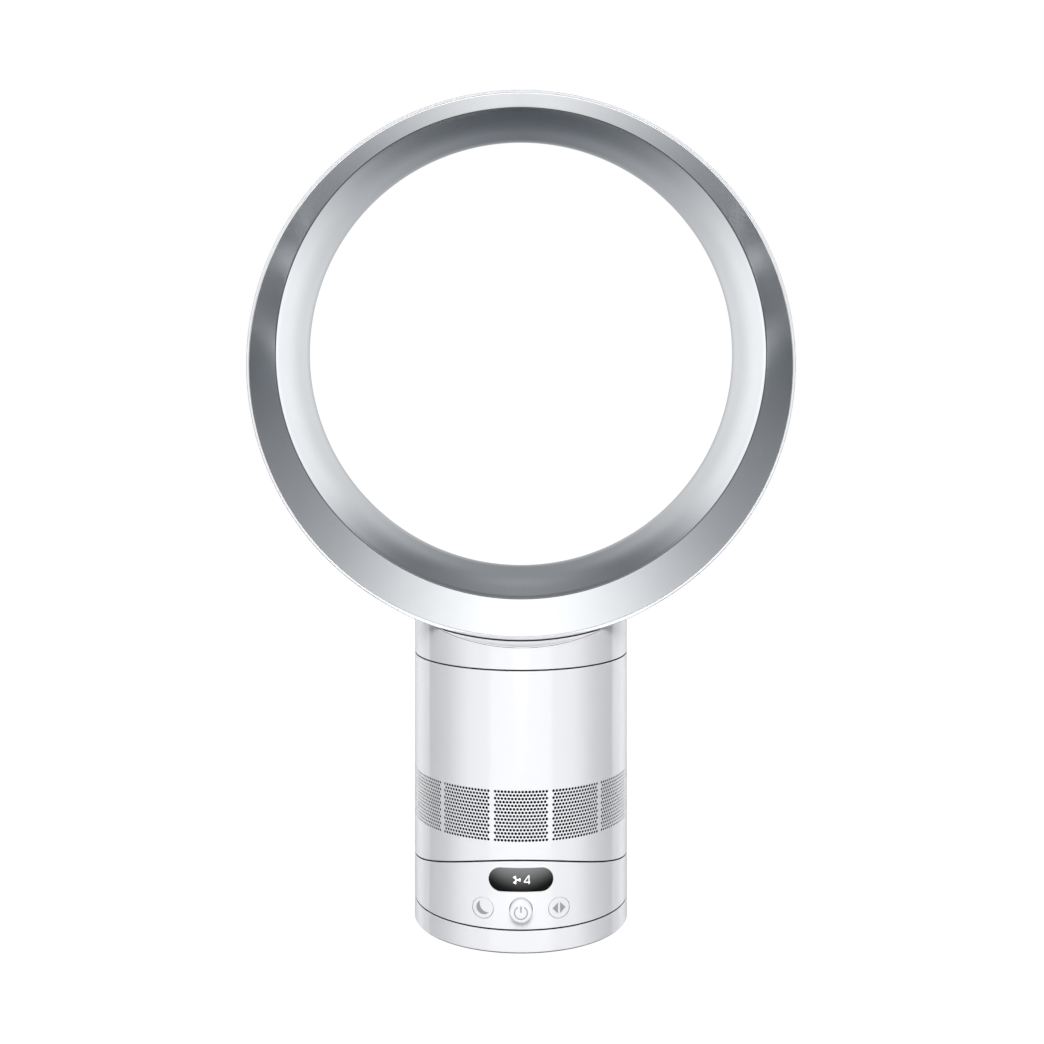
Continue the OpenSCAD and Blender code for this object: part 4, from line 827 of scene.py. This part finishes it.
# Inner duct: the silver throat of the loop. Its front is a short steep bead beside the bezel. From
# there it narrows to the rear at an angle that falls smoothly, turns round a curved lip and ends in
# the air slot, where the shell's curl covers it.
DUCT_WALL, BLEND_C, BLEND_R, COANDA_R, DUCT_LIP_END = 2.0, (208.5, 32.6), 60.0, 14.0, 105
FLARE_FRONT, FLARE_BACK, FLARE_FROM, FLARE_SPAN = 15.5, 8.8, 0.16, 0.6
DUCT_GAP, BEAD_SLOPE, BEAD_END, BEAD_FACE = 0.6, 18.0, -29.8, 0.3
duct_front = BEZEL_BACK + DUCT_GAP
blend = arc(BLEND_C, BLEND_R, 180 + FLARE_BACK, 180, 6)
run = np.linspace(0, 1, 25)
share = np.clip((run - FLARE_FROM) / FLARE_SPAN, 0, 1)
flare = np.radians(FLARE_FRONT + (FLARE_BACK - FLARE_FRONT) * share**2 * (3 - 2 * share))
flare_y = BEAD_END + (blend[0, 1] - BEAD_END) * run
drop = np.concatenate([[0], np.cumsum((np.tan(flare[1:]) + np.tan(flare[:-1])) / 2 * np.diff(flare_y))])
flare_r = blend[0, 0] + drop[-1] - drop
bead_y = np.array([duct_front, duct_front + BEAD_FACE, BEAD_END - BEAD_FACE])
bead_r = flare_r[0] + math.tan(math.radians(BEAD_SLOPE)) * (BEAD_END - bead_y)
duct_profile = np.vstack([
    np.column_stack([bead_r, bead_y]),
    np.column_stack([flare_r, flare_y]),
    blend[1:],
    arc(COANDA_C, COANDA_R, 180, DUCT_LIP_END, 14)[1:],
    arc(COANDA_C, COANDA_R - DUCT_WALL, DUCT_LIP_END, 180, 10),
    arc(BLEND_C, BLEND_R - DUCT_WALL, 180, 180 + FLARE_BACK, 8)[1:],
    [[BORE_EDGE_R + DUCT_WALL, duct_front]],
])
# The duct's front face, in the gap behind the bezel, gets the dark painted shade.
made("duct_moulding", [carried(about(duct_profile, BORE_Z))], silver_paint, "loop",
     ["inner_duct"], shade_faces=(groove_shade_paint, lambda centres: centres[:, 1] < duct_front + NEAR))

# Camera, floor and studio: the camera stands level with the bore in front of the fan. Soft suns
# light it. Gloss doesn't see them, but a studio in the world's colour, in degrees of azimuth from
# straight behind the fan (both sides are alike) and of height over the horizon.
camera = bpy.data.objects.new("camera", bpy.data.cameras.new("camera"))
bpy.context.scene.collection.objects.link(camera)
camera.location, camera.rotation_euler = (0, -1.0416, 0.3755), (math.pi / 2, 0, 0)
camera.data.lens, camera.data.sensor_width = 52.70, 36
camera.data.shift_x, camera.data.shift_y = 0.001, -0.1529
bpy.context.scene.camera = camera
bpy.context.scene.view_settings.view_transform = "Standard"

floor_mesh = bpy.data.meshes.new("floor")
floor_mesh.from_pydata([(-6, -6, 0), (6, -6, 0), (6, 6, 0), (-6, 6, 0)], [], [(0, 1, 2, 3)])
floor = bpy.data.objects.new("floor", floor_mesh)
bpy.context.scene.collection.objects.link(floor)
floor_paint = Paint("pale_floor", (0.4, 0.4, 0.4), 0.8)
# The camera sees the floor mostly as plain white, except just under the foot's edge, where it sees the grey
# floor in the foot's shadow: a dark line that is partly that shadow and partly the floor's own grey.
seen = floor_paint.node("LightPath", out="Is Camera Ray")
white_light = floor_paint.node("Emission", {}, (1, 1, 1, 1), 1.12)
from_middle = floor_paint.node("VectorMath", {"operation": "LENGTH"}, floor_paint.place, out="Value")
clear_of_foot = floor_paint.between(from_middle, 0.0702, 0.0712)
plain_floor = Level(floor_paint, floor_paint.shader.outputs[0])
mix = floor_paint.node("MixShader", {}, seen * clear_of_foot * 0.88, plain_floor, white_light)
floor_paint.tree.links.new(mix.socket, floor_paint.tree.nodes["Material Output"].inputs[0])
floor_mesh.materials.append(floor_paint.material)
floor.visible_glossy = False


def sun(name, strength, azimuth, height, spread):
    """A soft sun that shines from an azimuth, counted from the front towards +X, and a height."""
    data = bpy.data.lights.new(name, "SUN")
    data.energy, data.angle = strength, math.radians(spread)
    lamp = bpy.data.objects.new(name, data)
    bpy.context.scene.collection.objects.link(lamp)
    lamp.rotation_euler = (math.radians(90 - height), 0, math.radians(azimuth))
    lamp.visible_glossy = lamp.visible_camera = False


sun("key", 2.15, 0, 40, 25)
sun("rear_left", 2.2, 142, 8, 15)
sun("rear_right", 2.2, -142, 8, 15)
sun("top", 1.05, 0, 68, 50)

studio = bpy.data.worlds.new("studio")
bpy.context.scene.world = studio
studio.use_nodes = True
studio.cycles.sampling_method = "NONE"
sky = Nodes(studio.node_tree)
way = sky.node("VectorMath", {"operation": "NORMALIZE"}, sky.node("TexCoord", out="Generated"))
way_x, way_y, way_z = [sky.node("SeparateXYZ", {}, way, out=axis) for axis in "XYZ"]
azimuth = sky.node("Math", {"operation": "ARCTAN2"}, abs(way_x), way_y) * (180 / math.pi)
height = sky.node("Math", {"operation": "ARCSINE"}, way_z) * (180 / math.pi)


def lobe(azimuth_degrees, height_degrees, power):
    """The cosine of the angle from a direction with azimuth 0 or 180, raised to a power, and 0
    behind it."""
    a, h = math.radians(azimuth_degrees), math.radians(height_degrees)
    cosine = way_y * (math.cos(a) * math.cos(h)) + way_z * math.sin(h)
    return sky.node("Math", {"operation": "MAXIMUM"}, cosine, 0.0) ** power


# Behind the fan: a wall that grows brighter to its edges and reaches lower and higher there, a
# bright floor before it and a soft patch high on it.
wider = azimuth * (1 - sky.between(azimuth, 38, 56)) * 0.3
back_wall = ((0.4 + 1.4 * (azimuth / 60) ** 1.4) * (1 - sky.between(azimuth, 62.5, 65))
             * (1 - sky.between(height - wider, 8, 30)) * (1 - sky.between(0 - wider - height, -4, 38)))
back_floor = ((0.9 * lobe(0, -60, 11) + 0.3 * lobe(0, -60, 1))
              * (1 - sky.between(height - 0.35 * azimuth, -56, -48)) + 0.25 * lobe(0, 33, 60))
# In front: a ceiling, a low band of light from each side to the front, and a ring of light round
# the way to -Y.
front_top = 1.1 * lobe(180, 62, 8) + 0.45 * lobe(180, 62, 1)
front_box = ((2.2 * sky.between(azimuth, 92, 128) + 1.0 * sky.between(azimuth, 146, 148))
             * (1 - sky.between(height, -10, 0)) * (1 - sky.between(0 - height, 20, 25)))
front_ring = 2.2 * sky.between(0 - way_y, 0.973, 0.979) * (1 - sky.between(0 - way_y, 0.987, 0.992))
# Everywhere: a dim room, darker in a band under and over the back wall.
dark_band = (sky.between(abs(height), 37, 46) * (1 - sky.between(abs(height), 50, 56))
             * (1 - sky.between(azimuth, 20, 40)))
room = 0.16 - 0.11 * dark_band
pattern = room + back_wall + back_floor + front_top + front_box + front_ring
is_camera = sky.node("LightPath", out="Is Camera Ray")
is_clear = sky.node("LightPath", out="Is Transmission Ray")
is_glossy = sky.node("LightPath", out="Is Glossy Ray")
plain_white = sky.node("Math", {"operation": "MAXIMUM"}, is_camera, is_clear)
strength = plain_white + (1 - plain_white) * (is_glossy * pattern + (1 - is_glossy) * 0.12)
background = studio.node_tree.nodes["Background"]
tint = sky.blend(is_glossy * room / pattern, (1, 1, 1, 1), (0.9, 1, 1.12, 1))
studio.node_tree.links.new(tint.socket, background.inputs["Color"])
studio.node_tree.links.new(strength.socket, background.inputs["Strength"])
